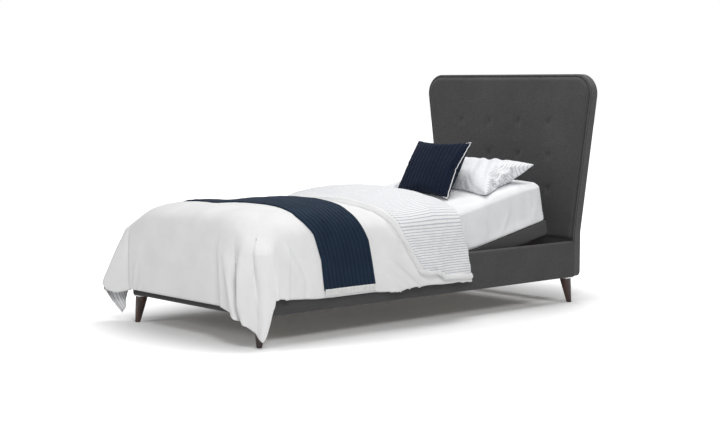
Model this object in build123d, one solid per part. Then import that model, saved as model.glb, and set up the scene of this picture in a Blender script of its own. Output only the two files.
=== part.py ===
from build123d import *
import os
from math import cos, radians, sin, sqrt, tan

os.makedirs("parts", exist_ok=True)

# An adjustable bed in millimetres. X runs across the bed, Y from the foot to the
# headboard and Z up. It is drawn with Y zero at the outer face of the foot rail and
# moved at the end, so that the origin is on the floor under the middle of the bed.

# Mattress and frame
mattress_width = 965.0
mattress_length = 2032.0
mattress_height = 250.0
mattress_inset = 2.5
mattress_top_radius = 45.0
mattress_bottom_radius = 20.0
mattress_end_radius = 60.0
side_gap = 5.5
head_gap = 165.0
leg_height = 143.0
rail_height = 201.0
rail_thickness = 45.0
rail_core_thickness = 25.0
rail_cover_depth = 10.0
rail_edge_radius = 9.0
rail_corner_radius = 12.0
part_gap = 0.3
cut_over = 1.0

# Slats and their cleats
slat_top_height = 92.0
slat_thickness = 20.0
slat_width = 70.0
slat_count = 13
slat_end_margin = 60.0
slat_end_gap = 2.0
cleat_width = 22.0
cleat_height = 30.0

# Legs
leg_top_radius = 32.0
leg_bottom_radius = 14.0
leg_corner_inset = 34.0
leg_splay = 16.0
leg_inboard = 4.0
leg_plate_size = 64.0
leg_plate_thickness = 5.0
glide_radius = 12.0
glide_height = 3.0

# Corner brackets and bolts
bracket_thickness = 5.0
bracket_reach = 60.0
bracket_height = 34.0
bracket_rise = 6.0
bolt_radius = 4.0
bolt_length = 24.0
bolt_head_radius = 7.5
bolt_head_height = 4.0
bolt_spacing = 28.0

# Headboard
headboard_height = 1283.0
headboard_top_width = 1318.0
headboard_depth = 48.0
headboard_flare_height = 395.0
headboard_top_radius = 110.0
headboard_foot_radius = 30.0
band_thickness = 14.0
core_front_gap = 12.0
core_thickness = 24.0
back_thickness = 4.0
pad_crown = 18.0
pad_edge_radius = 16.0
pad_bottom_height = 352.0
welt_radius = 3.5
button_columns = 4
button_rows = 3
button_pitch_x = 229.0
button_pitch_z = 190.0
button_top_drop = 271.0
button_radius = 13.0
button_height = 5.0
tuft_radius = 46.0
tuft_depth = 9.0

# Lifting deck
deck_rise = 187.0
deck_depth = 80.0
board_thickness = 12.0
border_thickness = 20.0
border_corner_radius = 18.0
border_edge_radius = 14.0
foot_gap = 8.0
head_length = 680.0
seat_length = 400.0
thigh_length = 335.0
head_rest_angle = 12.0
head_travel = 45.0
thigh_travel = 30.0
hinge_drop = 10.0
knee_drop = 58.0
hinge_half_gap = 12.0
knee_half_gap = 8.0

# Steel frames of the deck and base
tube_size = 25.0
tube_wall = 2.0
tube_inset = 62.5
base_tube_size = 30.0
base_tube_inset = 92.5
base_tube_foot_inset = 52.0
base_tube_head_inset = 125.0
foot_pad_height = 6.0
foot_pad_size = 40.0
plate_thickness = 6.0
plate_gap = 1.0
arm_reach = 65.0
pin_radius = 5.0
pin_gap = 0.3
pin_head_radius = 8.0
pin_head_height = 3.0
eye_radius = 10.0
link_radius = 8.0
link_ahead = 30.0
link_drop = 12.0
lug_half_width = 14.0
calf_tube_end_margin = 30.0
frame_end_margin = 35.0

# Linear actuators
lever_radius = 62.0
lever_eye_radius = 11.0
rod_radius = 10.0
rod_eye_width = 30.0
rod_eye_height = 34.0
slot_play = 1.0
actuator_radius = 18.0
actuator_bore_gap = 1.0
gearbox_length = 50.0
gearbox_width = 60.0
gearbox_height = 44.0
actuator_eye_width = 14.0
actuator_eye_reach = 15.0
clevis_length = 30.0
clevis_plate = 4.0
clevis_pin_inset = 12.0
motor_radius = 19.0
motor_length = 110.0
head_mount_reach = 305.0
head_actuator_gap = 70.0
thigh_mount_reach = 340.0
thigh_actuator_gap = 80.0
rod_overlap = 110.0

# Control box
box_length = 140.0
box_width = 160.0
box_height = 40.0
box_x = 260.0
box_ahead = 190.0
inlet_width = 28.0
inlet_height = 20.0
inlet_depth = 16.0
inlet_pin_radius = 2.0
inlet_pin_spacing = 10.0

# Bends of the mattress
hip_bend_front = 105.0
hip_bend_back = 75.0
waist_bend_front = 110.0
waist_bend_back = 240.0

# Duvet
quilt_side_gap = 3.0
quilt_side_thickness = 17.0
quilt_foot_out = 33.0
quilt_foot_thickness = 15.0
quilt_corner_radius = 55.0
quilt_inner_corner_radius = 18.0
quilt_shoulder_drop = 80.0
quilt_shoulder_width = 90.0
quilt_loft = 32.0
quilt_crown = 68.0
quilt_foot_slope = 200.0
quilt_inner_shoulder = 65.0
side_hem_height = 205.0
foot_hem_height = 168.0
corner_hem_height = 42.0
corner_hem_reach = 130.0
quilt_head_gap = 75.0
quilt_head_lean = 60.0
fold_layer = 15.0
fold_ahead = 228.0
fold_lean = 283.0
fold_hem_front_height = 262.0
fold_hem_back_height = 210.0
corner_fold_radius = 17.0
corner_fold_top_radius = 3.0
corner_fold_top_height = 520.0
corner_fold_pitch = 52.0
corner_fold_count = 3
quilt_head_bend = 155.0
knee_bend_margin = 20.0

# Throw
throw_thickness = 7.0
throw_foot_gap = 222.0
throw_width = 322.0
throw_hem_shift = 108.0
throw_hem_height = 240.0
fringe_length = 24.0
fringe_thickness = 4.0

# Pillow and cushion, placed along the raised head section
pillow_width = 720.0
pillow_depth = 400.0
pillow_thickness = 130.0
pillow_x = 100.0
pillow_start = 262.0
cushion_width = 412.0
cushion_height = 348.0
cushion_thickness = 98.0
cushion_x = 80.0
cushion_ahead = 169.0
cushion_rise = 179.7
cushion_lean = 58.4
cushion_dent_gap = 0.6
piping_radius = 4.5
piping_gap = 0.8
cushion_channel_count = 15
channel_share = 0.07
seam_share = 0.06
draw_in_share = 0.03
ring_bend_share = 1.15
edge_power = 2.4
soft_end_share = 1.3
soft_section_shares = (-1.0, -0.93, -0.72, -0.38, 0.0, 0.38, 0.72, 0.93, 1.0)

# Actuator fits
lever_half_gap = rod_radius + plate_gap
rod_eye_thickness = 2 * rod_radius

# Levels and overall size
frame_width = mattress_width + 2 * (side_gap + rail_thickness)
frame_length = rail_thickness + foot_gap + mattress_length + head_gap
rail_top = leg_height + rail_height
slat_top = leg_height + slat_top_height
slat_bottom = slat_top - slat_thickness
base_bottom = slat_top + foot_pad_height
base_top = base_bottom + base_tube_size
base_mid = base_bottom + base_tube_size / 2
deck_top = leg_height + deck_rise
deck_bottom = deck_top - deck_depth
board_bottom = deck_top - board_thickness
tube_bottom = board_bottom - tube_size
tube_mid = board_bottom - tube_size / 2
hinge_z = deck_top - hinge_drop
knee_z = hinge_z - knee_drop
mattress_bottom = deck_top + part_gap
mattress_top = mattress_bottom + mattress_height

# Widths
frame_half = frame_width / 2
rail_inner = frame_half - rail_thickness
quilt_half_width = frame_half + quilt_side_gap + quilt_side_thickness
deck_half = mattress_width / 2
board_half = deck_half - border_thickness
mattress_half = deck_half - mattress_inset
tube_x = deck_half - tube_inset
base_tube_x = deck_half - base_tube_inset
tube_face = tube_x + tube_size / 2
arm_x = tube_face
lug_x = arm_x + plate_thickness + plate_gap
calf_tube_x = lug_x - tube_size / 2
base_face_out = base_tube_x + base_tube_size / 2
base_face_in = base_tube_x - base_tube_size / 2
link_lug_x = base_face_in - plate_thickness
link_plate_x = link_lug_x - plate_gap - plate_thickness
calf_lug_x = link_plate_x - plate_gap - plate_thickness

# Places along the bed
deck_foot_y = rail_thickness + foot_gap
deck_head_y = deck_foot_y + mattress_length
head_hinge_y = deck_head_y - head_length
thigh_hinge_y = head_hinge_y - seat_length
knee_y = thigh_hinge_y - thigh_length
base_tube_front = deck_foot_y + base_tube_foot_inset
base_tube_back = deck_head_y - base_tube_head_inset
head_mount_y = head_hinge_y - head_mount_reach
head_actuator_end_y = head_hinge_y - head_actuator_gap
thigh_mount_y = thigh_hinge_y - thigh_mount_reach
thigh_actuator_end_y = thigh_hinge_y - thigh_actuator_gap
box_y = thigh_hinge_y + box_ahead
link_base_y = knee_y + link_ahead
link_base_z = hinge_z - link_drop
link_calf_y = link_base_y - thigh_length
link_calf_z = link_base_z - knee_drop
throw_front_top_y = deck_foot_y + throw_foot_gap
fold_front_top_y = thigh_hinge_y - fold_ahead
fold_front_hem_y = fold_front_top_y + fold_lean
quilt_head_top_y = head_hinge_y - quilt_head_gap
quilt_head_hem_y = quilt_head_top_y + quilt_head_lean
cushion_y = head_hinge_y + cushion_ahead
cushion_z = mattress_top + cushion_rise
headboard_back_y = frame_length + headboard_depth
front_y = -quilt_foot_out
origin_y = (front_y + headboard_back_y) / 2
head_axis = Axis((0, head_hinge_y, hinge_z), (1, 0, 0))
half_bend = radians(head_rest_angle / 2)
bend_corner_y = head_hinge_y - (deck_top - hinge_z + part_gap) * tan(half_bend)
bend_corner_axis = Axis((0, bend_corner_y, mattress_bottom), (1, 0, 0))


def block(x_start, x_end, y_start, y_end, z_start, z_end):
    """A box between two corners."""
    middle = ((x_start + x_end) / 2, (y_start + y_end) / 2, (z_start + z_end) / 2)
    return Pos(*middle) * Box(x_end - x_start, y_end - y_start, z_end - z_start)


def along_x(sketch, x_start, x_end):
    """A sketch in Y and Z, drawn out from one X to another."""
    return extrude(Plane.YZ.offset(x_start) * sketch, amount=x_end - x_start)


def along_y(sketch, y_start, y_end):
    """A sketch in X and Z, drawn out from one Y to another."""
    return extrude(Plane.XZ.offset(-y_end) * sketch, amount=y_end - y_start)


def along_z(sketch, z_start, z_end):
    """A sketch in X and Y, drawn out from one Z to another."""
    return extrude(Plane.XY.offset(z_start) * sketch, amount=z_end - z_start)


def outline(points):
    """A closed flat shape through the points."""
    return make_face(Polyline(*points, close=True))


def rod_x(y, z, radius, x_start, x_end):
    """A round bar along X."""
    return along_x(Pos(y, z) * Circle(radius), x_start, x_end)


def rod_y(x, z, radius, y_start, y_end):
    """A round bar along Y."""
    return along_y(Pos(x, z) * Circle(radius), y_start, y_end)


def hull_plate(rounds, x_start, x_end, holes=()):
    """A flat plate round several circles, each given as (y, z, radius), with holes."""
    edges = []
    for y, z, radius in rounds:
        edges += (Pos(y, z) * Circle(radius)).edges()
    plate = along_x(make_hull(edges), x_start, x_end)
    for y, z, radius in holes:
        plate -= rod_x(y, z, radius, x_start - cut_over, x_end + cut_over)
    return plate


def tube_y(x, z, size, y_start, y_end):
    """A square steel tube along Y."""
    half = size / 2
    bore = half - tube_wall
    tube = block(x - half, x + half, y_start, y_end, z - half, z + half)
    return tube - block(x - bore, x + bore, y_start - cut_over, y_end + cut_over, z - bore, z + bore)


def tube_across(y, z, size, x_start, x_end):
    """A square steel tube along X."""
    half = size / 2
    bore = half - tube_wall
    tube = block(x_start, x_end, y - half, y + half, z - half, z + half)
    return tube - block(x_start - cut_over, x_end + cut_over, y - bore, y + bore, z - bore, z + bore)


def both(shape):
    """A shape and its twin on the other side of the bed."""
    return [shape, mirror(shape, about=Plane.YZ)]


def raised(shape):
    """A piece of the head section, turned from flat to its rest angle."""
    return shape.rotate(head_axis, head_rest_angle)


def solids_of(shapes):
    """Every solid of a shape or a list of shapes."""
    found = []
    for shape in shapes if isinstance(shapes, list) else [shapes]:
        found += shape.solids()
    return found


def save(name, shapes):
    """One node's file, moved so that the origin is under the middle of the bed."""
    moved = [Pos(0, -origin_y, 0) * solid for solid in solids_of(shapes)]
    export_step(Compound(children=moved), f"parts/{name}.step")


def headboard_outline(inset):
    """The headboard's front shape, drawn in by an inset."""
    low = frame_half - inset
    top = headboard_top_width / 2 - inset
    base = leg_height + inset
    height = headboard_height - inset
    points = [
        (-low, base),
        (-low, headboard_flare_height),
        (-top, height),
        (top, height),
        (low, headboard_flare_height),
        (low, base),
    ]
    face = outline(points)
    by_height = face.vertices().sort_by(Axis.Y)
    face = fillet(by_height[-2:], headboard_top_radius - inset)
    by_height = face.vertices().sort_by(Axis.Y)
    return fillet(by_height[:2], headboard_foot_radius - inset)


def button_places():
    """Centres of the tuft buttons, in X and Z."""
    places = []
    for row in range(button_rows):
        z = headboard_height - button_top_drop - row * button_pitch_z
        for column in range(button_columns):
            x = (column - (button_columns - 1) / 2) * button_pitch_x
            places.append((x, z))
    return places


def make_headboard():
    """Core panel, front pad with tufts, edge band, welt, buttons and back cloth."""
    core_front = frame_length + core_front_gap
    core_back = core_front + core_thickness
    inner = headboard_outline(band_thickness)
    core = along_y(inner, core_front, core_back)
    band = along_y(headboard_outline(0), frame_length, headboard_back_y - back_thickness)
    band -= along_y(inner, frame_length - cut_over, headboard_back_y + cut_over)
    back = along_y(headboard_outline(0), headboard_back_y - back_thickness, headboard_back_y)

    crest = frame_length - pad_crown
    crowned = along_y(inner, crest, core_front)
    crowned -= block(-frame_width, frame_width, crest - cut_over, core_front + cut_over, 0, pad_bottom_height)
    crowned = fillet(crowned.faces().sort_by(Axis.Y)[0].edges(), pad_edge_radius)
    lower = along_y(inner, frame_length, core_front)
    lower &= block(-frame_width, frame_width, 0, core_front, 0, pad_bottom_height)
    pad = crowned + lower
    buttons = []
    for x, z in button_places():
        pad -= Pos(x, crest - tuft_radius + tuft_depth, z) * Sphere(tuft_radius)
        seat = crest + tuft_depth
        cap = rod_y(x, z, button_radius, seat - button_height, seat - part_gap)
        cap = fillet(cap.faces().sort_by(Axis.Y)[0].edges(), button_height / 2)
        pad -= rod_y(x, z, button_radius + part_gap, crest - cut_over, seat)
        buttons.append(cap)

    welt_line = headboard_outline(band_thickness / 2).faces()[0].outer_wire()
    welt_wire = Plane.XZ.offset(welt_radius - frame_length) * welt_line
    start = welt_wire @ 0
    ring = sweep(Plane(origin=start, z_dir=welt_wire % 0) * Circle(welt_radius), path=welt_wire)
    clear = block(-frame_width, frame_width, 0, frame_length, 0, rail_top + welt_radius)
    ring -= clear

    shanks = [bolt_shank(*place, bolt_radius) for place in bolt_places()]
    save("headboard_core", core - shanks)
    save("headboard_band", band)
    save("headboard_back", back)
    save("headboard_pad", pad - shanks)
    save("headboard_buttons", buttons)
    save("headboard_welt", ring)


# Rails, slats and legs


def bolt_places():
    """Bolt axes of the corner brackets: a point, and whether it runs along X or Y."""
    places = []
    z = leg_height + bracket_rise + bracket_height / 2
    foot_face = rail_thickness
    for side in (-1, 1):
        for reach in (bracket_reach / 2 - bolt_spacing / 4, bracket_reach - bolt_spacing / 4):
            for end_y, way in ((foot_face, 1), (frame_length, -1)):
                places.append((side * rail_inner, end_y + way * reach, z, "x"))
                places.append((side * (rail_inner - reach), end_y, z, "y"))
    return places


def bolt_shank(x, y, z, along, radius):
    """The hole or shank of one bracket bolt, out from the bracket's face into the rail."""
    if along == "x":
        outward = 1 if x > 0 else -1
        inner = x - outward * bracket_thickness
        outer = x + outward * bolt_length
        return rod_x(y, z, radius, min(inner, outer), max(inner, outer))
    outward = -1 if y < frame_length / 2 else 1
    inner = y - outward * bracket_thickness
    outer = y + outward * bolt_length
    return rod_y(x, z, radius, min(inner, outer), max(inner, outer))


def bolt_head(x, y, z, along):
    """The domed head of one bracket bolt, on the bracket's inner face."""
    if along == "x":
        outward = 1 if x > 0 else -1
        face = x - outward * bracket_thickness
        tip = face - outward * bolt_head_height
        return rod_x(y, z, bolt_head_radius, min(face, tip), max(face, tip))
    outward = -1 if y < frame_length / 2 else 1
    face = y - outward * bracket_thickness
    tip = face - outward * bolt_head_height
    return rod_y(x, z, bolt_head_radius, min(face, tip), max(face, tip))


def make_rails():
    """Side and foot rails with their covers, corner brackets and bolts."""
    core_low = leg_height + rail_cover_depth
    core_high = rail_top - rail_cover_depth
    core_in = frame_half - rail_cover_depth - rail_core_thickness
    core_out = frame_half - rail_cover_depth
    side_core = block(core_in, core_out, rail_thickness, frame_length, core_low, core_high)
    side_cover = block(rail_inner, frame_half, rail_thickness, frame_length, leg_height, rail_top)
    side_cover = fillet(side_cover.edges().filter_by(Axis.Y), rail_edge_radius) - side_core
    core_depth = core_out - core_in
    foot_core = block(-core_out, core_out, rail_cover_depth, rail_cover_depth + core_depth, core_low, core_high)
    foot_cover = block(-frame_half, frame_half, 0, rail_thickness, leg_height, rail_top)
    corners = foot_cover.edges().filter_by(Axis.Z).group_by(Axis.Y)[0]
    foot_cover = fillet(corners, rail_corner_radius)
    long_edges = [edge for edge in foot_cover.edges() if edge.center().Z in (leg_height, rail_top)]
    front_edges = [edge for edge in long_edges if edge.center().Y < rail_thickness / 2 - cut_over]
    foot_cover = fillet(front_edges, rail_edge_radius) - foot_core

    side_cores = both(side_core)
    side_covers = both(side_cover)
    brackets = []
    low = leg_height + bracket_rise
    for end_y, way in ((rail_thickness, 1), (frame_length, -1)):
        reach_y = sorted((end_y, end_y + way * bracket_reach))
        face_y = sorted((end_y, end_y + way * bracket_thickness))
        leaf = block(rail_inner - bracket_thickness, rail_inner, *reach_y, low, low + bracket_height)
        leaf += block(rail_inner - bracket_reach, rail_inner, *face_y, low, low + bracket_height)
        brackets += both(leaf)
    bolts = []
    shanks = []
    for place in bolt_places():
        shanks.append(bolt_shank(*place, bolt_radius))
        bolts.append(shanks[-1] + bolt_head(*place))
    save("rail_cores", [core - shanks for core in side_cores] + [foot_core - shanks])
    save("rail_cover_right", side_covers[0] - shanks)
    save("rail_cover_left", side_covers[1] - shanks)
    save("rail_cover_foot", foot_cover - shanks)
    save("corner_brackets", [bracket - shanks for bracket in brackets])
    save("corner_bolts", bolts)


def slat_places():
    """Y of each slat's middle."""
    first = rail_thickness + slat_end_margin
    last = frame_length - slat_end_margin
    return [first + (last - first) * i / (slat_count - 1) for i in range(slat_count)]


def make_slats():
    """Ledger cleats along the side rails and the slats that lie on them."""
    cleat_low = slat_bottom - cleat_height
    cleat = block(rail_inner - cleat_width, rail_inner, rail_thickness, frame_length, cleat_low, slat_bottom)
    reach = rail_inner - slat_end_gap
    slats = []
    for y in slat_places():
        slats.append(block(-reach, reach, y - slat_width / 2, y + slat_width / 2, slat_bottom, slat_top))
    save("ledger_cleats", both(cleat))
    save("slats", slats)


def make_legs():
    """Four tapered, splayed legs with their top plates and glides."""
    plates = []
    glides = []
    for end, end_y, out_y in (("foot", leg_corner_inset, -1), ("head", frame_length - leg_corner_inset, 1)):
        for side, sign in (("left", -1), ("right", 1)):
            top_x = sign * (frame_half - leg_corner_inset - leg_inboard)
            foot_x = top_x + sign * leg_splay
            foot_y = end_y + out_y * leg_splay
            leg_top = leg_height - leg_plate_thickness
            top = Pos(top_x, end_y, leg_top) * Circle(leg_top_radius)
            foot = Pos(foot_x, foot_y, glide_height) * Circle(leg_bottom_radius)
            save(f"leg_{end}_{side}", loft([foot, top]))
            half = leg_plate_size / 2
            plates.append(block(top_x - half, top_x + half, end_y - half, end_y + half, leg_top, leg_height))
            glides.append(along_z(Pos(foot_x, foot_y) * Circle(glide_radius), 0, glide_height))
    save("leg_plates", plates)
    save("leg_glides", glides)


# Adjustable base


def hinge_lug(y, z):
    """An outrigger on the base's side tube with a lug up to a hinge pin."""
    half = base_tube_size / 2
    stub = block(base_face_out, lug_x, y - half, y + half, base_bottom, base_top)
    foot_z = base_bottom + pin_radius
    foot = [(y + side * (half - pin_radius), foot_z, pin_radius) for side in (-1, 1)]
    rounds = foot + [(y, z, eye_radius)]
    return stub + hull_plate(rounds, lug_x, lug_x + plate_thickness, [(y, z, pin_radius)])


def rivet(y, z, x_start, x_end):
    """A headed pin along X, its shank between two X values."""
    pin = rod_x(y, z, pin_radius, x_start, x_end)
    pin += rod_x(y, z, pin_head_radius, x_start - pin_head_height, x_start)
    pin += rod_x(y, z, pin_head_radius, x_end, x_end + pin_head_height)
    return pin


def make_base():
    """Side tubes, cross tubes, feet, hinge lugs and hinge pins of the fixed base."""
    side = tube_y(base_tube_x, base_mid, base_tube_size, base_tube_front, base_tube_back)
    half = base_tube_size / 2
    cross_places = [
        base_tube_front + half,
        thigh_mount_y - half,
        head_mount_y - half,
        head_hinge_y + lever_radius + half + clevis_pin_inset / 2,
        base_tube_back - half,
    ]
    crosses = [tube_across(y, base_mid, base_tube_size, -base_face_in, base_face_in) for y in cross_places]
    pads = []
    for y in slat_places()[1:-2:3]:
        x_start = base_tube_x - foot_pad_size / 2
        x_end = base_tube_x + foot_pad_size / 2
        pad_start = y - foot_pad_size / 2
        pads += both(block(x_start, x_end, pad_start, pad_start + foot_pad_size, slat_top, base_bottom))
    lugs = both(hinge_lug(head_hinge_y, hinge_z)) + both(hinge_lug(thigh_hinge_y, hinge_z))
    link_foot = [
        (link_base_y - lug_half_width + pin_radius, base_bottom + pin_radius, pin_radius),
        (link_base_y + lug_half_width - pin_radius, base_bottom + pin_radius, pin_radius),
        (link_base_y, link_base_z, link_radius),
    ]
    link_hole = [(link_base_y, link_base_z, pin_radius)]
    lugs += both(hull_plate(link_foot, link_lug_x, link_lug_x + plate_thickness, link_hole))
    pins = []
    for y in (head_hinge_y, thigh_hinge_y):
        pins += both(rivet(y, hinge_z, arm_x - pin_gap, lug_x + plate_thickness))
    pins += both(rivet(link_base_y, link_base_z, link_plate_x - pin_gap, link_lug_x + plate_thickness))
    save("base_side_tubes", both(side))
    save("base_cross_tubes", crosses)
    save("base_feet", pads)
    save("hinge_lugs", lugs)
    save("hinge_pins", pins)


def deck_board(y_start, y_end):
    """The plywood top of one deck section."""
    return block(-board_half, board_half, y_start, y_end, board_bottom, deck_top)


def deck_border(y_start, y_end, closed):
    """The upholstered edge of a deck section: two sides, and one end where it is closed."""
    body = block(-deck_half, deck_half, y_start, y_end, deck_bottom, deck_top)
    inner_start = y_start - cut_over
    inner_end = y_end + cut_over
    if closed == "head":
        body = fillet(body.edges().filter_by(Axis.Z).group_by(Axis.Y)[-1], border_corner_radius)
        inner_end = y_end - border_thickness
    if closed == "foot":
        body = fillet(body.edges().filter_by(Axis.Z).group_by(Axis.Y)[0], border_corner_radius)
        inner_start = y_start + border_thickness
    low = body.faces().sort_by(Axis.Z)[0]
    open_ends = {"head": [y_start], "foot": [y_end], None: [y_start, y_end]}[closed]
    rounded = [edge for edge in low.edges() if edge.center().Y not in open_ends]
    body = fillet(rounded, border_edge_radius)
    low, high = deck_bottom - cut_over, deck_top + cut_over
    return body - block(-board_half, board_half, inner_start, inner_end, low, high)


def arm_notch(hinge_y, way):
    """Room in a deck board for both hinge arms."""
    y_limits = sorted((hinge_y, hinge_y + way * (arm_reach + eye_radius)))
    low, high = board_bottom - cut_over, deck_top + cut_over
    return both(block(arm_x - plate_gap, lug_x + plate_thickness, *y_limits, low, high))


def hinge_arm(hinge_y, way):
    """The arm from a section's side tube to its hinge pin."""
    rounds = [(hinge_y, hinge_z, eye_radius), (hinge_y + way * arm_reach, tube_mid, tube_size / 2)]
    hole = [(hinge_y, hinge_z, pin_radius + pin_gap)]
    return hull_plate(rounds, arm_x, arm_x + plate_thickness, hole)


def lever_pin_offset(angle):
    """Place of a lever's pin from its hinge, with the lever this far round from straight down."""
    return lever_radius * sin(radians(angle)), -lever_radius * cos(radians(angle))


def lever(tube_y_place, pin_y, pin_z):
    """Two lever plates from a cross tube down to the actuator's pin, and the pin."""
    shapes = []
    rounds = [(tube_y_place, tube_mid, tube_size / 2), (pin_y, pin_z, lever_eye_radius)]
    for side in (-1, 1):
        limits = sorted((side * lever_half_gap, side * (lever_half_gap + plate_thickness)))
        plate = hull_plate(rounds, *limits, [(pin_y, pin_z, pin_radius)])
        half = tube_size / 2
        plate -= block(*limits, tube_y_place - half, tube_y_place + half, tube_mid - half, tube_mid + half)
        shapes.append(biggest(plate))
    reach = lever_half_gap + plate_thickness
    shapes.append(rivet(pin_y, pin_z, -reach, reach))
    return shapes


def biggest(shape):
    """The largest solid of a shape that a cut has left in pieces."""
    return sorted(shape.solids(), key=lambda solid: solid.volume)[-1]


def make_seat():
    """The fixed seat section of the deck and its stand on the base."""
    start = thigh_hinge_y + hinge_half_gap
    end = head_hinge_y - hinge_half_gap
    frame = []
    front_y = start + tube_size + lever_eye_radius + clevis_pin_inset
    back_y = end - frame_end_margin - tube_size
    rail_start = start + pin_head_height
    rail_end = end - pin_head_height
    inner = base_tube_x - tube_size / 2
    frame += both(tube_y(base_tube_x, tube_mid, tube_size, rail_start, rail_end))
    for y in (front_y, back_y):
        frame.append(tube_across(y, tube_mid, tube_size, -inner, inner))
        spacer = block(inner, inner + tube_size, y - tube_size, y + tube_size, base_top, tube_bottom)
        frame += both(spacer)
    save("seat_board", deck_board(start, end))
    save("seat_border", deck_border(start, end, None))
    save("seat_frame", frame)


def make_head():
    """The lifting head section, drawn flat and turned to its rest angle."""
    start = head_hinge_y + hinge_half_gap
    end = deck_head_y
    board = deck_board(start, end - border_thickness)
    for notch in arm_notch(head_hinge_y, 1):
        board -= notch
    border = deck_border(start, end, "head")
    tube_start = head_hinge_y + frame_end_margin
    tube_end = end - border_thickness - frame_end_margin
    frame = both(tube_y(tube_x, tube_mid, tube_size, tube_start, tube_end))
    inner = tube_x - tube_size / 2
    first = tube_start + tube_size / 2
    for y in (first, (tube_start + tube_end) / 2, tube_end - tube_size / 2):
        frame.append(tube_across(y, tube_mid, tube_size, -inner, inner))
    frame += both(hinge_arm(head_hinge_y, 1))
    lever_y, lever_z = lever_pin_offset(-head_travel / 2)
    frame += lever(first, head_hinge_y + lever_y, hinge_z + lever_z)
    save("head_board", raised(board))
    save("head_border", raised(border))
    save("head_frame", [raised(solid) for solid in solids_of(frame)])


def make_thigh():
    """The lifting thigh section."""
    start = knee_y + knee_half_gap
    end = thigh_hinge_y - hinge_half_gap
    board = deck_board(start, end)
    for notch in arm_notch(thigh_hinge_y, -1):
        board -= notch
    tube_start = knee_y + frame_end_margin
    tube_end = thigh_hinge_y - frame_end_margin
    frame = both(tube_y(tube_x, tube_mid, tube_size, tube_start, tube_end))
    inner = tube_x - tube_size / 2
    last = tube_end - tube_size / 2
    for y in (tube_start + tube_size + frame_end_margin, last):
        frame.append(tube_across(y, tube_mid, tube_size, -inner, inner))
    frame += both(hinge_arm(thigh_hinge_y, -1))
    end_y = knee_y + frame_end_margin + tube_size / 2
    rounds = [(knee_y, knee_z, eye_radius), (end_y, tube_mid, tube_size / 2)]
    hole = [(knee_y, knee_z, pin_radius)]
    frame += both(hull_plate(rounds, arm_x, arm_x + plate_thickness, hole))
    frame += both(rivet(knee_y, knee_z, arm_x, lug_x + plate_thickness + pin_gap))
    lever_y, lever_z = lever_pin_offset(thigh_travel / 2)
    frame += lever(last, thigh_hinge_y + lever_y, hinge_z + lever_z)
    save("thigh_board", board)
    save("thigh_border", deck_border(start, end, None))
    save("thigh_frame", frame)


def make_calf():
    """The calf section, held level by the link arms."""
    start = deck_foot_y
    end = knee_y - knee_half_gap
    tube_start = start + border_thickness + calf_tube_end_margin
    tube_end = knee_y - frame_end_margin
    frame = both(tube_y(calf_tube_x, tube_mid, tube_size, tube_start, tube_end))
    inner = calf_tube_x - tube_size / 2
    last = tube_end - tube_size * 4
    for y in (tube_start + tube_size / 2, link_calf_y, last):
        frame.append(tube_across(y, tube_mid, tube_size, -inner, inner))
    rounds = [(knee_y, knee_z, eye_radius), (tube_end - tube_size / 2, tube_mid, tube_size / 2)]
    hole = [(knee_y, knee_z, pin_radius + pin_gap)]
    frame += both(hull_plate(rounds, lug_x, lug_x + plate_thickness, hole))
    lug_rounds = [
        (link_calf_y - tube_size / 2 + link_radius / 2, tube_bottom - link_radius / 2, link_radius / 2),
        (link_calf_y + tube_size / 2 - link_radius / 2, tube_bottom - link_radius / 2, link_radius / 2),
        (link_calf_y, link_calf_z, link_radius),
    ]
    lug_hole = [(link_calf_y, link_calf_z, pin_radius)]
    frame += both(hull_plate(lug_rounds, calf_lug_x, calf_lug_x + plate_thickness, lug_hole))
    frame += both(rivet(link_calf_y, link_calf_z, calf_lug_x, link_plate_x + plate_thickness + pin_gap))
    save("calf_board", deck_board(start + border_thickness, end))
    save("calf_border", deck_border(start, end, "foot"))
    save("calf_frame", frame)


def make_links():
    """Two link arms from the base to the calf section."""
    rounds = [(link_base_y, link_base_z, link_radius), (link_calf_y, link_calf_z, link_radius)]
    holes = [(y, z, pin_radius + pin_gap) for y, z, _ in rounds]
    save("link_arms", both(hull_plate(rounds, link_plate_x, link_plate_x + plate_thickness, holes)))


# Actuators and control box


def rod_height(travel):
    """Z of an actuator's axis: midway between its lever pin's highest and lowest places."""
    return hinge_z - lever_radius * (1 + cos(radians(travel / 2))) / 2


def slot_half_height(travel):
    """Half of the rod eye's slot: the pin's radius, its rise and fall, and the play."""
    return pin_radius + lever_radius * (1 - cos(radians(travel / 2))) / 2 + slot_play


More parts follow.
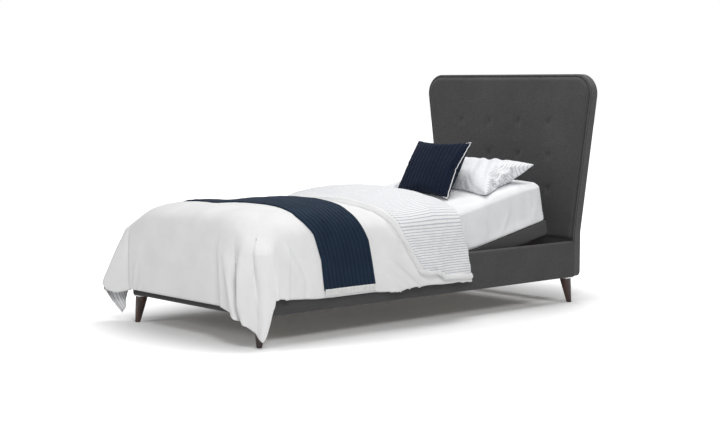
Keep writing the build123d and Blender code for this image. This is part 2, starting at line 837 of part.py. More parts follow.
def make_actuator(name, mount_y, end_y, pin_y, travel):
    """Housing, motor, clevis bracket and rod of one actuator."""
    z = rod_height(travel)
    eye_y = mount_y + clevis_length - clevis_pin_inset
    box_start = eye_y + actuator_eye_reach
    box_end = box_start + gearbox_length
    half_eye = actuator_eye_width / 2
    half_box = gearbox_width / 2
    housing = block(-half_box, half_box, box_start, box_end, z - gearbox_height / 2, z + gearbox_height / 2)
    housing = fillet(housing.edges().filter_by(Axis.Y), actuator_eye_reach / 3)
    housing += hull_plate([(eye_y, z, eye_radius), (box_start, z, eye_radius)], -half_eye, half_eye)
    housing += rod_y(0, z, actuator_radius, box_end, end_y)
    housing -= rod_y(0, z, rod_radius + actuator_bore_gap, box_end, end_y + cut_over)
    housing -= rod_x(eye_y, z, pin_radius, -half_box, half_box)
    motor = rod_x((box_start + box_end) / 2, z, motor_radius, half_box, half_box + motor_length)
    motor = fillet(motor.faces().sort_by(Axis.X)[-1].edges(), motor_radius / 4)
    clevis = []
    outer = half_eye + clevis_plate + plate_gap
    for side in (-1, 1):
        limits = sorted((side * outer, side * (half_eye + plate_gap)))
        plate = block(*limits, mount_y, mount_y + clevis_length, z - eye_radius, z + eye_radius)
        clevis.append(plate - rod_x(eye_y, z, pin_radius, -outer, outer))
    clevis.append(rivet(eye_y, z, -outer, outer))
    rod_start = end_y - rod_overlap
    eye_start = pin_y - rod_eye_width / 2
    rod = rod_y(0, z, rod_radius, rod_start, eye_start + cut_over)
    half = rod_eye_thickness / 2
    eye_low, eye_high = z - rod_eye_height / 2, z + rod_eye_height / 2
    eye = block(-half, half, eye_start, pin_y + rod_eye_width / 2, eye_low, eye_high)
    rod += fillet(eye.edges().filter_by(Axis.X), rod_radius / 2)
    slot_half = pin_radius + slot_play
    slot_rise = slot_half_height(travel)
    reach = half + cut_over
    slot = block(-reach, reach, pin_y - slot_half, pin_y + slot_half, z - slot_rise, z + slot_rise)
    rod -= slot
    save(f"{name}_actuator", housing)
    save(f"{name}_rod", rod)
    return motor, clevis


def make_actuators():
    """Both actuators and the control box with its power inlet."""
    head_pin = head_hinge_y + lever_pin_offset(head_rest_angle - head_travel / 2)[0]
    thigh_pin = thigh_hinge_y + lever_pin_offset(thigh_travel / 2)[0]
    head_motor, head_clevis = make_actuator("head", head_mount_y, head_actuator_end_y, head_pin, head_travel)
    thigh_motor, thigh_clevis = make_actuator(
        "thigh", thigh_mount_y, thigh_actuator_end_y, thigh_pin, thigh_travel
    )
    save("actuator_motors", [head_motor, thigh_motor])
    save("actuator_brackets", head_clevis + thigh_clevis)
    x_start = box_x - box_width / 2
    x_end = box_x + box_width / 2
    y_start, box_low = box_y - box_length / 2, board_bottom - box_height
    body = block(x_start, x_end, y_start, y_start + box_length, box_low, board_bottom)
    body = fillet(body.faces().sort_by(Axis.Z)[0].edges(), inlet_pin_radius * 2)
    middle = board_bottom - box_height / 2
    front = box_y - box_length / 2
    body -= block(
        box_x - inlet_width / 2,
        box_x + inlet_width / 2,
        front - cut_over,
        front + inlet_depth,
        middle - inlet_height / 2,
        middle + inlet_height / 2,
    )
    for side in (-1, 1):
        pin_x = box_x + side * inlet_pin_spacing / 2
        body += rod_y(pin_x, middle, inlet_pin_radius, front + inlet_pin_radius, front + inlet_depth)
    save("control_box", body)


# Bedding


def rounded_block(x_half, y_start, y_end, z_start, z_end, end):
    """A mattress piece with rounded long edges, and a rounded end at the foot or head."""
    body = block(-x_half, x_half, y_start, y_end, z_start, z_end)
    if end:
        group = 0 if end == "foot" else -1
        body = fillet(body.edges().filter_by(Axis.Z).group_by(Axis.Y)[group], mattress_end_radius)
    open_ends = {"foot": [y_end], "head": [y_start], None: [y_start, y_end]}[end]
    top = body.faces().sort_by(Axis.Z)[-1]
    body = fillet([edge for edge in top.edges() if edge.center().Y not in open_ends], mattress_top_radius)
    low = body.faces().sort_by(Axis.Z)[0]
    return fillet([edge for edge in low.edges() if edge.center().Y not in open_ends], mattress_bottom_radius)


def slice_y(shape, y_start, y_end):
    """The part of a shape between two Y values."""
    return shape & block(-frame_width, frame_width, y_start, y_end, -frame_width, headboard_height)


def mattress_waist():
    """The mattress where it bends up at the head hinge, between its seat and head pieces."""
    start = head_hinge_y - waist_bend_front
    tangent = bend_corner_y - start
    radius = tangent / tan(half_bend)
    section = rounded_block(mattress_half, start - tangent, start, mattress_bottom, mattress_top, None)
    face = section.faces().sort_by(Axis.Y)[-1]
    bend_axis = Axis((0, start, mattress_bottom + radius), (1, 0, 0))
    bend = revolve(face, axis=bend_axis, revolution_arc=head_rest_angle)
    flat_end = head_hinge_y + waist_bend_back
    start = bend_corner_y + tangent
    straight = rounded_block(mattress_half, start, flat_end, mattress_bottom, mattress_top, None)
    return bend + straight.rotate(bend_corner_axis, head_rest_angle)


def make_mattress():
    """The mattress in its fitted sheet, in pieces that follow the deck sections."""
    hip_start = thigh_hinge_y - hip_bend_front
    hip_end = thigh_hinge_y + hip_bend_back
    waist_start = head_hinge_y - waist_bend_front
    flat = rounded_block(mattress_half, deck_foot_y, waist_start, mattress_bottom, mattress_top, "foot")
    save("mattress_calf", slice_y(flat, deck_foot_y - cut_over, knee_y))
    save("mattress_thigh", slice_y(flat, knee_y, hip_start))
    save("mattress_hip", slice_y(flat, hip_start, hip_end))
    save("mattress_seat", slice_y(flat, hip_end, waist_start + cut_over))
    waist = mattress_waist()
    save("mattress_waist", waist)
    head_start = head_hinge_y + waist_bend_back
    head = rounded_block(mattress_half, head_start, deck_head_y, mattress_bottom, mattress_top, "head")
    save("mattress_head", head.rotate(bend_corner_axis, head_rest_angle))
    return waist


def quilt_section(grow, inner):
    """Section across the duvet, grown outward, or its inner space."""
    if inner:
        half = quilt_half_width - quilt_side_thickness
        side_top = mattress_top - quilt_inner_shoulder
        shoulder = half - quilt_inner_shoulder
        crown = mattress_top
        top = mattress_top
    else:
        half = quilt_half_width + grow
        side_top = mattress_top - quilt_shoulder_drop
        shoulder = half - quilt_shoulder_width
        top = mattress_top + quilt_loft + grow
        crown = mattress_top + quilt_crown + grow
    lean = sqrt(0.5)
    mid_x = shoulder + (half - shoulder) * lean
    mid_z = side_top + (top - side_top) * lean
    right = [
        Line((half, 0), (half, side_top)),
        ThreePointArc((half, side_top), (mid_x, mid_z), (shoulder, top)),
    ]
    if inner:
        roof = Line((shoulder, top), (-shoulder, top))
    else:
        roof = ThreePointArc((shoulder, top), (0, crown), (-shoulder, top))
    left = [
        ThreePointArc((-shoulder, top), (-mid_x, mid_z), (-half, side_top)),
        Line((-half, side_top), (-half, 0)),
    ]
    return make_face(right + [roof] + left + [Line((-half, 0), (half, 0))])


def quilt_long_section(inner):
    """Section along the duvet, with its rounded fall at the foot."""
    end = deck_head_y
    if inner:
        out = -quilt_foot_out + quilt_foot_thickness
        side_top = mattress_top - quilt_inner_shoulder
        shoulder = out + quilt_inner_shoulder
        top = mattress_top
        crown = mattress_top
    else:
        out = -quilt_foot_out
        side_top = mattress_top - quilt_shoulder_drop
        shoulder = out + quilt_shoulder_width
        top = mattress_top + quilt_loft
        crown = mattress_top + quilt_crown
    lean = sqrt(0.5)
    mid_y = shoulder - (shoulder - out) * lean
    mid_z = side_top + (top - side_top) * lean
    edges = [Line((out, 0), (out, side_top)), ThreePointArc((out, side_top), (mid_y, mid_z), (shoulder, top))]
    if inner:
        edges.append(Line((shoulder, top), (end, top)))
    else:
        slope_end = shoulder + quilt_foot_slope
        rise_mid = top + (crown - top) * lean
        mid = (shoulder + quilt_foot_slope * (1 - lean), rise_mid)
        edges.append(ThreePointArc((shoulder, top), mid, (slope_end, crown)))
        edges.append(Line((slope_end, crown), (end, crown)))
    edges.append(Line((end, crown), (end, 0)))
    edges.append(Line((end, 0), (out, 0)))
    return make_face(edges)


def quilt_plan(inner):
    """The duvet seen from above, with its two rounded foot corners."""
    inset = quilt_side_thickness if inner else 0
    half = quilt_half_width - inset
    start = -quilt_foot_out + (quilt_foot_thickness if inner else 0)
    face = outline([(-half, start), (half, start), (half, deck_head_y), (-half, deck_head_y)])
    radius = quilt_inner_corner_radius if inner else quilt_corner_radius
    return fillet(face.vertices().sort_by(Axis.Y)[:2], radius)


def quilt_envelope(inner):
    """The duvet's outer form, or the space inside it."""
    start = -quilt_foot_out - cut_over
    body = along_y(quilt_section(0, inner), start, deck_head_y)
    body &= along_x(quilt_long_section(inner), -frame_width, frame_width)
    return body & along_z(quilt_plan(inner), 0, headboard_height)


def sloping_slab(front_top, front_hem, back_top, back_hem, z_low):
    """The space between two planes that lean toward the head as they go down."""
    wide = frame_width
    layers = []
    for z in (mattress_top + quilt_loft, z_low):
        share = (mattress_top + quilt_loft - z) / (mattress_top + quilt_loft - z_low)
        front = front_top + (front_hem - front_top) * share
        back = back_top + (back_hem - back_top) * share
        corners = [(-wide, front), (wide, front), (wide, back), (-wide, back)]
        layers.append(Plane.XY.offset(z) * outline(corners))
    top_corners = [(-wide, front_top), (wide, front_top), (wide, back_top), (-wide, back_top)]
    upper = along_z(outline(top_corners), mattress_top + quilt_loft, headboard_height)
    return loft(layers, ruled=True) + upper


def corner_folds():
    """Gathered vertical folds at the duvet's two foot corners."""
    low = corner_hem_height
    height = corner_fold_top_height - low
    folds = []
    for i in range(corner_fold_count):
        reach = quilt_corner_radius + (i + 1 / 2) * corner_fold_pitch
        sink = corner_fold_radius / 2
        side_place = (quilt_half_width - sink, reach - quilt_foot_out, low + height / 2)
        foot_place = (quilt_half_width - reach, sink - quilt_foot_out, low + height / 2)
        for place in (side_place, foot_place):
            folds += both(Pos(*place) * Cone(corner_fold_radius, corner_fold_top_radius, height))
    return folds


def hem_cutters():
    """What is cut away below the hem, leaving a point at each foot corner."""
    low = -cut_over
    wide = frame_width
    side = [
        (0, corner_hem_height),
        (corner_hem_reach, side_hem_height),
        (deck_head_y + cut_over, side_hem_height),
        (deck_head_y + cut_over, low),
        (0, low),
    ]
    point_x = quilt_half_width - quilt_foot_out
    valley_x = point_x - corner_hem_reach
    foot = [
        (-point_x, corner_hem_height),
        (-valley_x, foot_hem_height),
        (valley_x, foot_hem_height),
        (point_x, corner_hem_height),
        (point_x, low),
        (-point_x, low),
    ]
    below = block(-wide, wide, -wide, wide, low, corner_hem_height)
    return [along_x(outline(side), -wide, wide), along_y(outline(foot), -wide, quilt_foot_out), below]


def fold_over():
    """The duvet's folded-back second layer at its head end."""
    layer = along_y(quilt_section(fold_layer, False), fold_front_top_y, deck_head_y)
    layer -= along_y(quilt_section(0, False), fold_front_top_y - cut_over, deck_head_y + cut_over)
    front, back = (fold_front_top_y, fold_front_hem_y), (quilt_head_top_y, quilt_head_hem_y)
    layer &= sloping_slab(*front, *back, side_hem_height)
    hem = [
        (fold_front_top_y, fold_hem_front_height),
        (fold_front_hem_y, fold_hem_front_height),
        (quilt_head_hem_y, fold_hem_back_height),
        (deck_head_y, fold_hem_back_height),
        (deck_head_y, 0),
        (fold_front_top_y, 0),
    ]
    return layer - along_x(outline(hem), -frame_width, frame_width)


def make_duvet(waist):
    """The duvet in pieces that follow the deck sections."""
    outer = quilt_envelope(False)
    for fold in corner_folds():
        outer += fold
    outer &= block(-frame_width, frame_width, -quilt_foot_out, deck_head_y, 0, headboard_height)
    outer &= block(-quilt_half_width, quilt_half_width, -frame_width, deck_head_y, 0, headboard_height)
    quilt = outer - quilt_envelope(True)
    for cutter in hem_cutters():
        quilt -= cutter
    quilt &= sloping_slab(
        -frame_width, -frame_width, quilt_head_top_y, quilt_head_hem_y, corner_hem_height - cut_over
    )
    quilt += fold_over()
    hip_start = knee_y - knee_bend_margin
    hip_end = thigh_hinge_y + hip_bend_back
    save("duvet_calf", slice_y(quilt, -frame_width, hip_start))
    save("duvet_thigh", slice_y(quilt, hip_start, hip_end))
    fold_start = head_hinge_y - quilt_head_bend
    save("duvet_seat", slice_y(quilt, hip_end, fold_start))
    save("duvet_fold", slice_y(quilt, fold_start, deck_head_y) - waist)


def make_throw():
    """The throw across the duvet, with a fringe at both ends."""
    front = throw_front_top_y
    back = front + throw_width
    hem_front = front + throw_hem_shift
    hem_back = back + throw_hem_shift
    fringe_low = throw_hem_height - fringe_length
    start = front - cut_over
    end = hem_back + cut_over
    layer = along_y(quilt_section(throw_thickness + part_gap, False), start, end)
    layer -= along_y(quilt_section(part_gap, False), start - cut_over, end + cut_over)
    slab = sloping_slab(front, hem_front, back, hem_back, throw_hem_height)
    above = block(-frame_width, frame_width, start, end, throw_hem_height, headboard_height)
    save("throw", layer & slab & above)
    low = quilt_half_width + part_gap
    fringe = block(low, low + fringe_thickness, hem_front, hem_back, fringe_low, throw_hem_height)
    save("throw_fringe", both(fringe))


def soft_section(half_width, half_height, seam_half, columns):
    """A section across a pillow or cushion, its front and back swelling in columns."""
    edges = []
    for side in (1, -1):
        for i in range(columns):
            spots = []
            for step in (i, i + 1 / 2, i + 1):
                share = (2 * step / columns - 1) * side
                rise = seam_half + (half_height - seam_half) * sqrt(max(1 - abs(share) ** edge_power, 0))
                swell = channel_share * (half_height - seam_half) if step % 1 and columns > 1 else 0
                spots.append((half_width * share, side * (rise + swell)))
            edges.append(ThreePointArc(*spots))
        edges.append(Line((half_width * side, side * seam_half), (half_width * side, -side * seam_half)))
    return make_face(edges)


def soft_form(width, height, thickness, columns):
    """A pillow or cushion lying on XY: crowned, with its two sides drawn in."""
    draw_in = width * draw_in_share
    sections = []
    for share in soft_section_shares:
        half_width = width / 2 - draw_in * (1 - share**2)
        seam_half = thickness * seam_share
        half_height = seam_half + (thickness / 2 - seam_half) * sqrt(1 - abs(share) ** edge_power)
        half_height = max(half_height, seam_half * soft_end_share)
        section = soft_section(half_width, half_height, seam_half, columns)
        sections.append(Plane.XZ.offset(-height / 2 * share) * section)
    return loft(sections)


def edge_ring(width, height, radius):
    """A round cord along the edge of a soft form, on XY."""
    draw_in = width * draw_in_share
    half_w = width / 2 + radius + piping_gap
    half_h = height / 2 + radius + piping_gap
    edges = [
        Line((-half_w, -half_h), (half_w, -half_h)),
        ThreePointArc((half_w, -half_h), (half_w - draw_in, 0), (half_w, half_h)),
        Line((half_w, half_h), (-half_w, half_h)),
        ThreePointArc((-half_w, half_h), (-half_w + draw_in, 0), (-half_w, -half_h)),
    ]
    face = fillet(make_face(edges).vertices(), radius * ring_bend_share)
    wire = face.faces()[0].outer_wire()
    return sweep(Plane(origin=wire @ 0, z_dir=wire % 0) * Circle(radius), path=wire)


def make_pillows(waist):
    """The pillow on the head section, and the cushion that leans on it."""
    pillow = soft_form(pillow_width, pillow_depth, pillow_thickness, 1)
    middle_y = head_hinge_y + pillow_start + pillow_depth / 2
    middle_z = mattress_top + pillow_thickness / 2 + part_gap
    pillow = (Pos(pillow_x, middle_y, middle_z) * pillow).rotate(bend_corner_axis, head_rest_angle)
    save("pillow", pillow)

    cushion = soft_form(cushion_width, cushion_height, cushion_thickness, cushion_channel_count)
    place = Pos(cushion_x, cushion_y, cushion_z) * Rot(cushion_lean, 0, 0)
    dents = [Pos(0, 0, cushion_dent_gap) * waist, Pos(0, -cushion_dent_gap, 0) * pillow]
    save("cushion", place * cushion - dents)
    piping = edge_ring(cushion_width, cushion_height, piping_radius)
    save("cushion_piping", place * piping)


make_headboard()
make_rails()
make_slats()
make_legs()
make_base()
make_seat()
make_head()
make_thigh()
make_calf()
make_links()
make_actuators()
waist_piece = make_mattress()
make_duvet(waist_piece)
make_throw()
make_pillows(waist_piece)
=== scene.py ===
import math

import bmesh
import bpy
import numpy as np
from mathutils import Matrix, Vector


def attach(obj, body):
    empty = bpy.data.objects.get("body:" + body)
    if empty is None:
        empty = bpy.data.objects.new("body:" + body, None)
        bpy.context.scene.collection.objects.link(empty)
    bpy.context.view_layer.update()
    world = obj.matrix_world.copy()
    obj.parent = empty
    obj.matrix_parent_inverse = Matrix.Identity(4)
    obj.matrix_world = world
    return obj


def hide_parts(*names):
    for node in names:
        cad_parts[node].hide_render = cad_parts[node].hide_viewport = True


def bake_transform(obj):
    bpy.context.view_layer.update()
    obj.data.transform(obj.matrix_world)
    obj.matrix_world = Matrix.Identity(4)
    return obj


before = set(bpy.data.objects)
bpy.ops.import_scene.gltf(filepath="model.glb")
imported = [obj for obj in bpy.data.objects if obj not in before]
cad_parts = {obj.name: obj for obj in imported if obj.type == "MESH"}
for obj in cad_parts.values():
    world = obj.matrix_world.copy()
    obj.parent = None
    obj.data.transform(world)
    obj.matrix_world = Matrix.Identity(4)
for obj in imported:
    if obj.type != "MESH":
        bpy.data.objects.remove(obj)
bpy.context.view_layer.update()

# Shapes are worked out in millimetres, with Y counted from the outer face of the foot
# rail, Z from the floor and X from the middle of the bed.
ORIGIN_Y = 1132.5
HEAD_TILT = math.radians(12)
# The runs of Y over which the bedding bends at each hinge, and where its pieces are cut across.
CUT_THIGH = 800
CUT_SEAT = 1162


def metres(points):
    """Millimetres as above, to metres in the row frame."""
    p = np.array(points, dtype=float)
    p[..., 1] -= ORIGIN_Y
    return p / 1000


# ---------------------------------------------------------------- camera, stage, light

SENSOR, PHOTO_WIDTH, FOCAL_PIXELS = 36, 720, 1487.74


def add_object(name, data):
    """A new object in the scene's own collection."""
    made = bpy.data.objects.new(name, data)
    bpy.context.scene.collection.objects.link(made)
    return made


camera_data = bpy.data.cameras.new("camera")
camera_data.sensor_width = SENSOR
camera_data.lens = SENSOR * FOCAL_PIXELS / PHOTO_WIDTH
camera_data.clip_end = 60
camera = add_object("camera", camera_data)
camera.location = (5.9462, -5.33715, 1.22796)
azimuth, pitch = math.radians(48.24), math.radians(5.07)
look = Vector((-math.sin(azimuth) * math.cos(pitch), math.cos(azimuth) * math.cos(pitch), -math.sin(pitch)))
camera.rotation_euler = look.to_track_quat("-Z", "Y").to_euler()
bpy.context.scene.camera = camera
bpy.context.scene.view_settings.view_transform = "Standard"


def node_tree(owner):
    """The emptied node tree of a material or world."""
    owner.use_nodes = True
    owner.node_tree.nodes.clear()
    return owner.node_tree


def add_node(tree, kind, **values):
    """A new node; each value is a setting, an input's value or a socket to link to that input."""
    made = tree.nodes.new(kind)
    for key, value in values.items():
        socket = made.inputs.get(key.replace("_", " "))
        if socket is None:
            setattr(made, key, value)
        elif isinstance(value, bpy.types.NodeSocket):
            tree.links.new(value, socket)
        else:
            socket.default_value = value
    return made


def maths(tree, operation, *values):
    """The result of a math node on numbers and sockets."""
    made = add_node(tree, "ShaderNodeMath", operation=operation)
    for socket, value in zip(made.inputs, values):
        if isinstance(value, bpy.types.NodeSocket):
            tree.links.new(value, socket)
        else:
            socket.default_value = value
    return made.outputs[0]


def end_tree(tree, kind, lit, shown):
    """Ends a tree with a shader for light, and another where a camera, mirror or glass sees it."""
    ray = tree.nodes.new("ShaderNodeLightPath").outputs
    seen = maths(tree, "MAXIMUM", ray["Is Camera Ray"], ray["Is Glossy Ray"])
    seen = maths(tree, "MAXIMUM", seen, ray["Is Transmission Ray"])
    mix = tree.nodes.new("ShaderNodeMixShader")
    for socket, value in zip(mix.inputs, (seen, lit, shown)):
        tree.links.new(value, socket)
    add_node(tree, kind, Surface=mix.outputs[0])


world = bpy.data.worlds.new("world")
bpy.context.scene.world = world
tree = node_tree(world)
sky = add_node(tree, "ShaderNodeBackground", Color=(1, 1, 1, 1), Strength=0.26)
white = add_node(tree, "ShaderNodeBackground", Color=(1, 1, 1, 1), Strength=1.0)
end_tree(tree, "ShaderNodeOutputWorld", sky.outputs[0], white.outputs[0])


def area_light(name, place, target, size, power):
    data = bpy.data.lights.new(name, "AREA")
    data.shape = "RECTANGLE"
    data.size, data.size_y = size
    data.energy = power
    lamp = add_object(name, data)
    lamp.location = place
    lamp.rotation_euler = (Vector(target) - Vector(place)).to_track_quat("-Z", "Y").to_euler()


area_light("key", (4.2, -2.9, 3.5), (0, 0, 0.4), (1.2, 1.2), 108)
area_light("fill", (-1.0, -5.0, 2.6), (0, 0, 0.4), (1.6, 1.4), 40)
area_light("top", (0.3, 0.8, 3.9), (0, 0.2, 0.4), (2.6, 2.6), 92)

floor_data = bpy.data.meshes.new("floor")
floor_data.from_pydata([(-30, -30, 0), (30, -30, 0), (30, 30, 0), (-30, 30, 0)], [], [(0, 1, 2, 3)])
floor = add_object("floor", floor_data)
floor_material = bpy.data.materials.new("floor_paint")
tree = node_tree(floor_material)
floor_paint = add_node(tree, "ShaderNodeBsdfDiffuse", Color=(0.93, 0.93, 0.93, 1))
# The floor glows to white away from the bed, over an oval.
spread = tree.nodes.new("ShaderNodeTexCoord").outputs["Object"]
stretch = add_node(tree, "ShaderNodeMapping", Scale=(1 / 1.05, 1 / 1.60, 0), Vector=spread)
away = add_node(tree, "ShaderNodeVectorMath", operation="LENGTH")
tree.links.new(stretch.outputs[0], away.inputs[0])
fade = add_node(tree, "ShaderNodeMapRange", interpolation_type="SMOOTHSTEP", Value=away.outputs["Value"],
                From_Min=0.72, From_Max=1.45, To_Min=0.055, To_Max=1.0)
glow = add_node(tree, "ShaderNodeEmission", Color=(1, 1, 1, 1), Strength=fade.outputs[0])
both = tree.nodes.new("ShaderNodeAddShader")
tree.links.new(floor_paint.outputs[0], both.inputs[0])
tree.links.new(glow.outputs[0], both.inputs[1])
end_tree(tree, "ShaderNodeOutputMaterial", floor_paint.outputs[0], both.outputs[0])
floor.data.materials.append(floor_material)


# ---------------------------------------------------------------- materials


BAND = 0.314  # length of one band of a wave texture at scale 1


class Paint:
    """A procedural material: nodes are added one by one to a Principled shader."""

    def __init__(self, name, roughness=0.8, sheen=0.0, specular=0.5):
        self.material = bpy.data.materials.new(name)
        self.tree = node_tree(self.material)
        self.shader = self.node("ShaderNodeBsdfPrincipled", Roughness=roughness, Sheen_Weight=sheen,
                                Sheen_Roughness=0.5, Specular_IOR_Level=specular)
        self.node("ShaderNodeOutputMaterial", Surface=self.shader.outputs[0])
        self.bumps = None
        self.place = self.node("ShaderNodeTexCoord").outputs["Object"]

    def node(self, kind, **values):
        return add_node(self.tree, kind, **values)

    def drive(self, value, name):
        self.tree.links.new(value, self.shader.inputs[name])

    def cloth(self):
        return self.node("ShaderNodeAttribute", attribute_name="cloth").outputs["Vector"]

    def noise(self, scale, detail=3.0, rough=0.55, vector=None):
        vector = self.place if vector is None else vector
        made = self.node("ShaderNodeTexNoise", Scale=scale, Detail=detail, Roughness=rough, Vector=vector)
        return made.outputs["Fac"]

    def wave(self, vector, scale, direction="X", distort=0.0):
        made = self.node("ShaderNodeTexWave", wave_type="BANDS", bands_direction=direction,
                         wave_profile="SIN", Scale=scale, Distortion=distort, Detail=1.0, Vector=vector)
        return made.outputs["Fac"]

    def math(self, operation, a, b):
        return maths(self.tree, operation, a, b)

    def ramp(self, value, *stops):
        """Colours or greys by a value, from (position, colour) stops."""
        made = self.node("ShaderNodeValToRGB", Fac=value)
        ramp = made.color_ramp
        while len(ramp.elements) > 1:
            ramp.elements.remove(ramp.elements[-1])
        for i, (position, color) in enumerate(stops):
            element = ramp.elements.new(position) if i else ramp.elements[0]
            element.position = position
            element.color = (*color, 1) if isinstance(color, tuple) else (color, color, color, 1)
        return made.outputs["Color"]

    def times(self, a, b):
        made = self.node("ShaderNodeMix", data_type="RGBA", blend_type="MULTIPLY")
        made.inputs[0].default_value = 1.0
        self.tree.links.new(a, made.inputs[6])
        self.tree.links.new(b, made.inputs[7])
        return made.outputs[2]

    def bump(self, height, strength, distance):
        under = {} if self.bumps is None else {"Normal": self.bumps}
        made = self.node("ShaderNodeBump", Strength=strength, Distance=distance, Height=height, **under)
        self.bumps = made.outputs["Normal"]
        self.drive(self.bumps, "Normal")

    def color(self, value):
        self.drive(value, "Base Color")

    def roughness(self, value, low, high):
        made = self.node("ShaderNodeMapRange", To_Min=low, To_Max=high, Value=value)
        self.drive(made.outputs[0], "Roughness")

    def weave(self, pitch, strength, distance):
        """Fine over-and-under threads, pitch in metres."""
        across, along, upright = (self.wave(self.place, BAND / pitch / 2, axis) for axis in "XYZ")
        pairs = ((across, along), (upright, along), (across, upright))
        first, second, third = (self.math("MULTIPLY", a, b) for a, b in pairs)
        threads = self.math("MAXIMUM", self.math("MAXIMUM", first, second), third)
        self.bump(threads, strength, distance)


def upholstery(name, dark, light):
    paint = Paint(name, roughness=0.88, sheen=0.12, specular=0.18)
    cloud = paint.noise(5.0, 4.0)
    base = paint.ramp(cloud, (0.3, dark), (0.7, light))
    speck = paint.ramp(paint.noise(420.0, 2.0), (0.3, 0.66), (0.72, 1.3))
    heather = paint.ramp(paint.noise(130.0, 3.0, 0.7), (0.32, 0.86), (0.68, 1.13))
    paint.color(paint.times(paint.times(base, speck), heather))
    paint.weave(0.0016, 0.35, 0.0006)
    paint.bump(paint.noise(60.0), 0.08, 0.002)
    paint.roughness(cloud, 0.8, 0.92)
    return paint.material


def cotton(name, dark, light, fine=0.0011):
    paint = Paint(name, roughness=0.85, sheen=0.15, specular=0.2)
    cloud = paint.noise(7.0)
    paint.color(paint.ramp(cloud, (0.3, dark), (0.7, light)))
    paint.bump(paint.noise(22.0, 4.0), 0.25, 0.004)
    paint.weave(fine, 0.18, 0.0003)
    paint.roughness(cloud, 0.78, 0.9)
    return paint.material


def striped(name, ground, stripe, pitch):
    """Fine stripes that follow the cloth, from its own first coordinate."""
    paint = Paint(name, roughness=0.85, sheen=0.15, specular=0.2)
    bands = paint.wave(paint.cloth(), BAND / pitch, "X", distort=0.15)
    soft = paint.noise(60.0, 2.0)
    shade = paint.ramp(bands, (0.66, ground), (0.93, stripe))
    paint.color(paint.times(shade, paint.ramp(soft, (0.3, 0.95), (0.7, 1.03))))
    paint.bump(bands, 0.25, 0.0012)
    paint.bump(paint.noise(25.0, 4.0), 0.2, 0.004)
    paint.weave(0.0011, 0.15, 0.0003)
    paint.roughness(soft, 0.78, 0.9)
    return paint.material


def ribbed(name, dark, light, pitch):
    """A soft knit: fine cords along the cloth's second coordinate."""
    paint = Paint(name, roughness=0.9, sheen=0.05, specular=0.1)
    cloth = paint.cloth()
    cords = paint.wave(cloth, BAND / pitch, "X")
    knots = paint.wave(cloth, BAND / 0.005, "Y", distort=0.6)
    cloud = paint.noise(9.0, 4.0)
    base = paint.ramp(cloud, (0.3, dark), (0.7, light))
    paint.color(paint.times(base, paint.ramp(paint.noise(260.0, 3.0, 0.7), (0.3, 0.75), (0.7, 1.25))))
    knotted = paint.math("ADD", 0.7, paint.math("MULTIPLY", knots, 0.3))
    paint.bump(paint.math("MULTIPLY", cords, knotted), 0.3, 0.0009)
    paint.bump(paint.noise(420.0, 2.0), 0.2, 0.0008)
    paint.roughness(cloud, 0.84, 0.94)
    return paint.material


def timber(name, dark, light, roughness, long_axis):
    """Wood with grain along one axis."""
    paint = Paint(name, roughness=roughness)
    stretch = tuple(0.06 if axis == long_axis else 1 for axis in "XYZ")
    drawn = paint.node("ShaderNodeMapping", Scale=stretch, Vector=paint.place).outputs[0]
    grain = paint.noise(60.0, 6.0, 0.62, drawn)
    rings = paint.wave(drawn, 9.0, "X", distort=6.0)
    both = paint.math("MULTIPLY", paint.math("ADD", grain, rings), 0.5)
    paint.color(paint.ramp(both, (0.25, dark), (0.75, light)))
    paint.bump(grain, 0.12, 0.0008)
    paint.roughness(grain, roughness - 0.06, roughness + 0.1)
    return paint.material


def metal(name, tone, roughness, metallic=1.0):
    paint = Paint(name, roughness=roughness)
    paint.shader.inputs["Metallic"].default_value = metallic
    cloud = paint.noise(30.0, 4.0)
    low, high = tuple(v * 0.85 for v in tone), tuple(min(v * 1.12, 1) for v in tone)
    paint.color(paint.ramp(cloud, (0.3, low), (0.7, high)))
    paint.bump(paint.noise(700.0, 2.0), 0.06, 0.0004)
    paint.roughness(cloud, roughness - 0.05, roughness + 0.08)
    return paint.material


def moulded(name, tone, roughness):
    paint = Paint(name, roughness=roughness)
    cloud = paint.noise(12.0)
    paint.color(paint.ramp(cloud, (0.3, tone), (0.7, tuple(v * 1.25 for v in tone))))
    paint.bump(paint.noise(900.0, 2.0), 0.2, 0.0004)
    paint.roughness(cloud, roughness - 0.05, roughness + 0.05)
    return paint.material


CHARCOAL = upholstery("charcoal_weave", (0.062, 0.061, 0.063), (0.076, 0.075, 0.077))
CHARCOAL_LIGHT = upholstery("charcoal_edge", (0.088, 0.087, 0.089), (0.108, 0.107, 0.109))
SHEET = cotton("sheet_cotton", (0.80, 0.81, 0.83), (0.87, 0.875, 0.89))
DUVET = cotton("duvet_cotton", (0.80, 0.80, 0.80), (0.86, 0.86, 0.86))
STRIPES = striped("striped_cotton", (0.87, 0.87, 0.88), (0.50, 0.52, 0.57), 0.0130)
PILLOW_STRIPES = striped("pillow_cotton", (0.86, 0.865, 0.88), (0.58, 0.60, 0.64), 0.0105)
THROW = ribbed("throw_knit", (0.0085, 0.0180, 0.036), (0.0125, 0.0255, 0.048), 0.0042)
CUSHION = ribbed("cushion_cloth", (0.0060, 0.0100, 0.023), (0.0088, 0.0145, 0.031), 0.0036)
PIPING = cotton("piping_cotton", (0.74, 0.74, 0.74), (0.82, 0.82, 0.82), 0.0016)
FRINGE = cotton("fringe_yarn", (0.80, 0.80, 0.79), (0.88, 0.88, 0.87), 0.0016)
LEG_WOOD = timber("walnut", (0.022, 0.010, 0.007), (0.060, 0.026, 0.016), 0.34, "Z")
SLAT_WOOD = timber("slat_beech", (0.40, 0.34, 0.27), (0.54, 0.47, 0.38), 0.5, "X")
PANEL_WOOD = timber("panel_pine", (0.38, 0.32, 0.25), (0.50, 0.43, 0.34), 0.6, "Y")
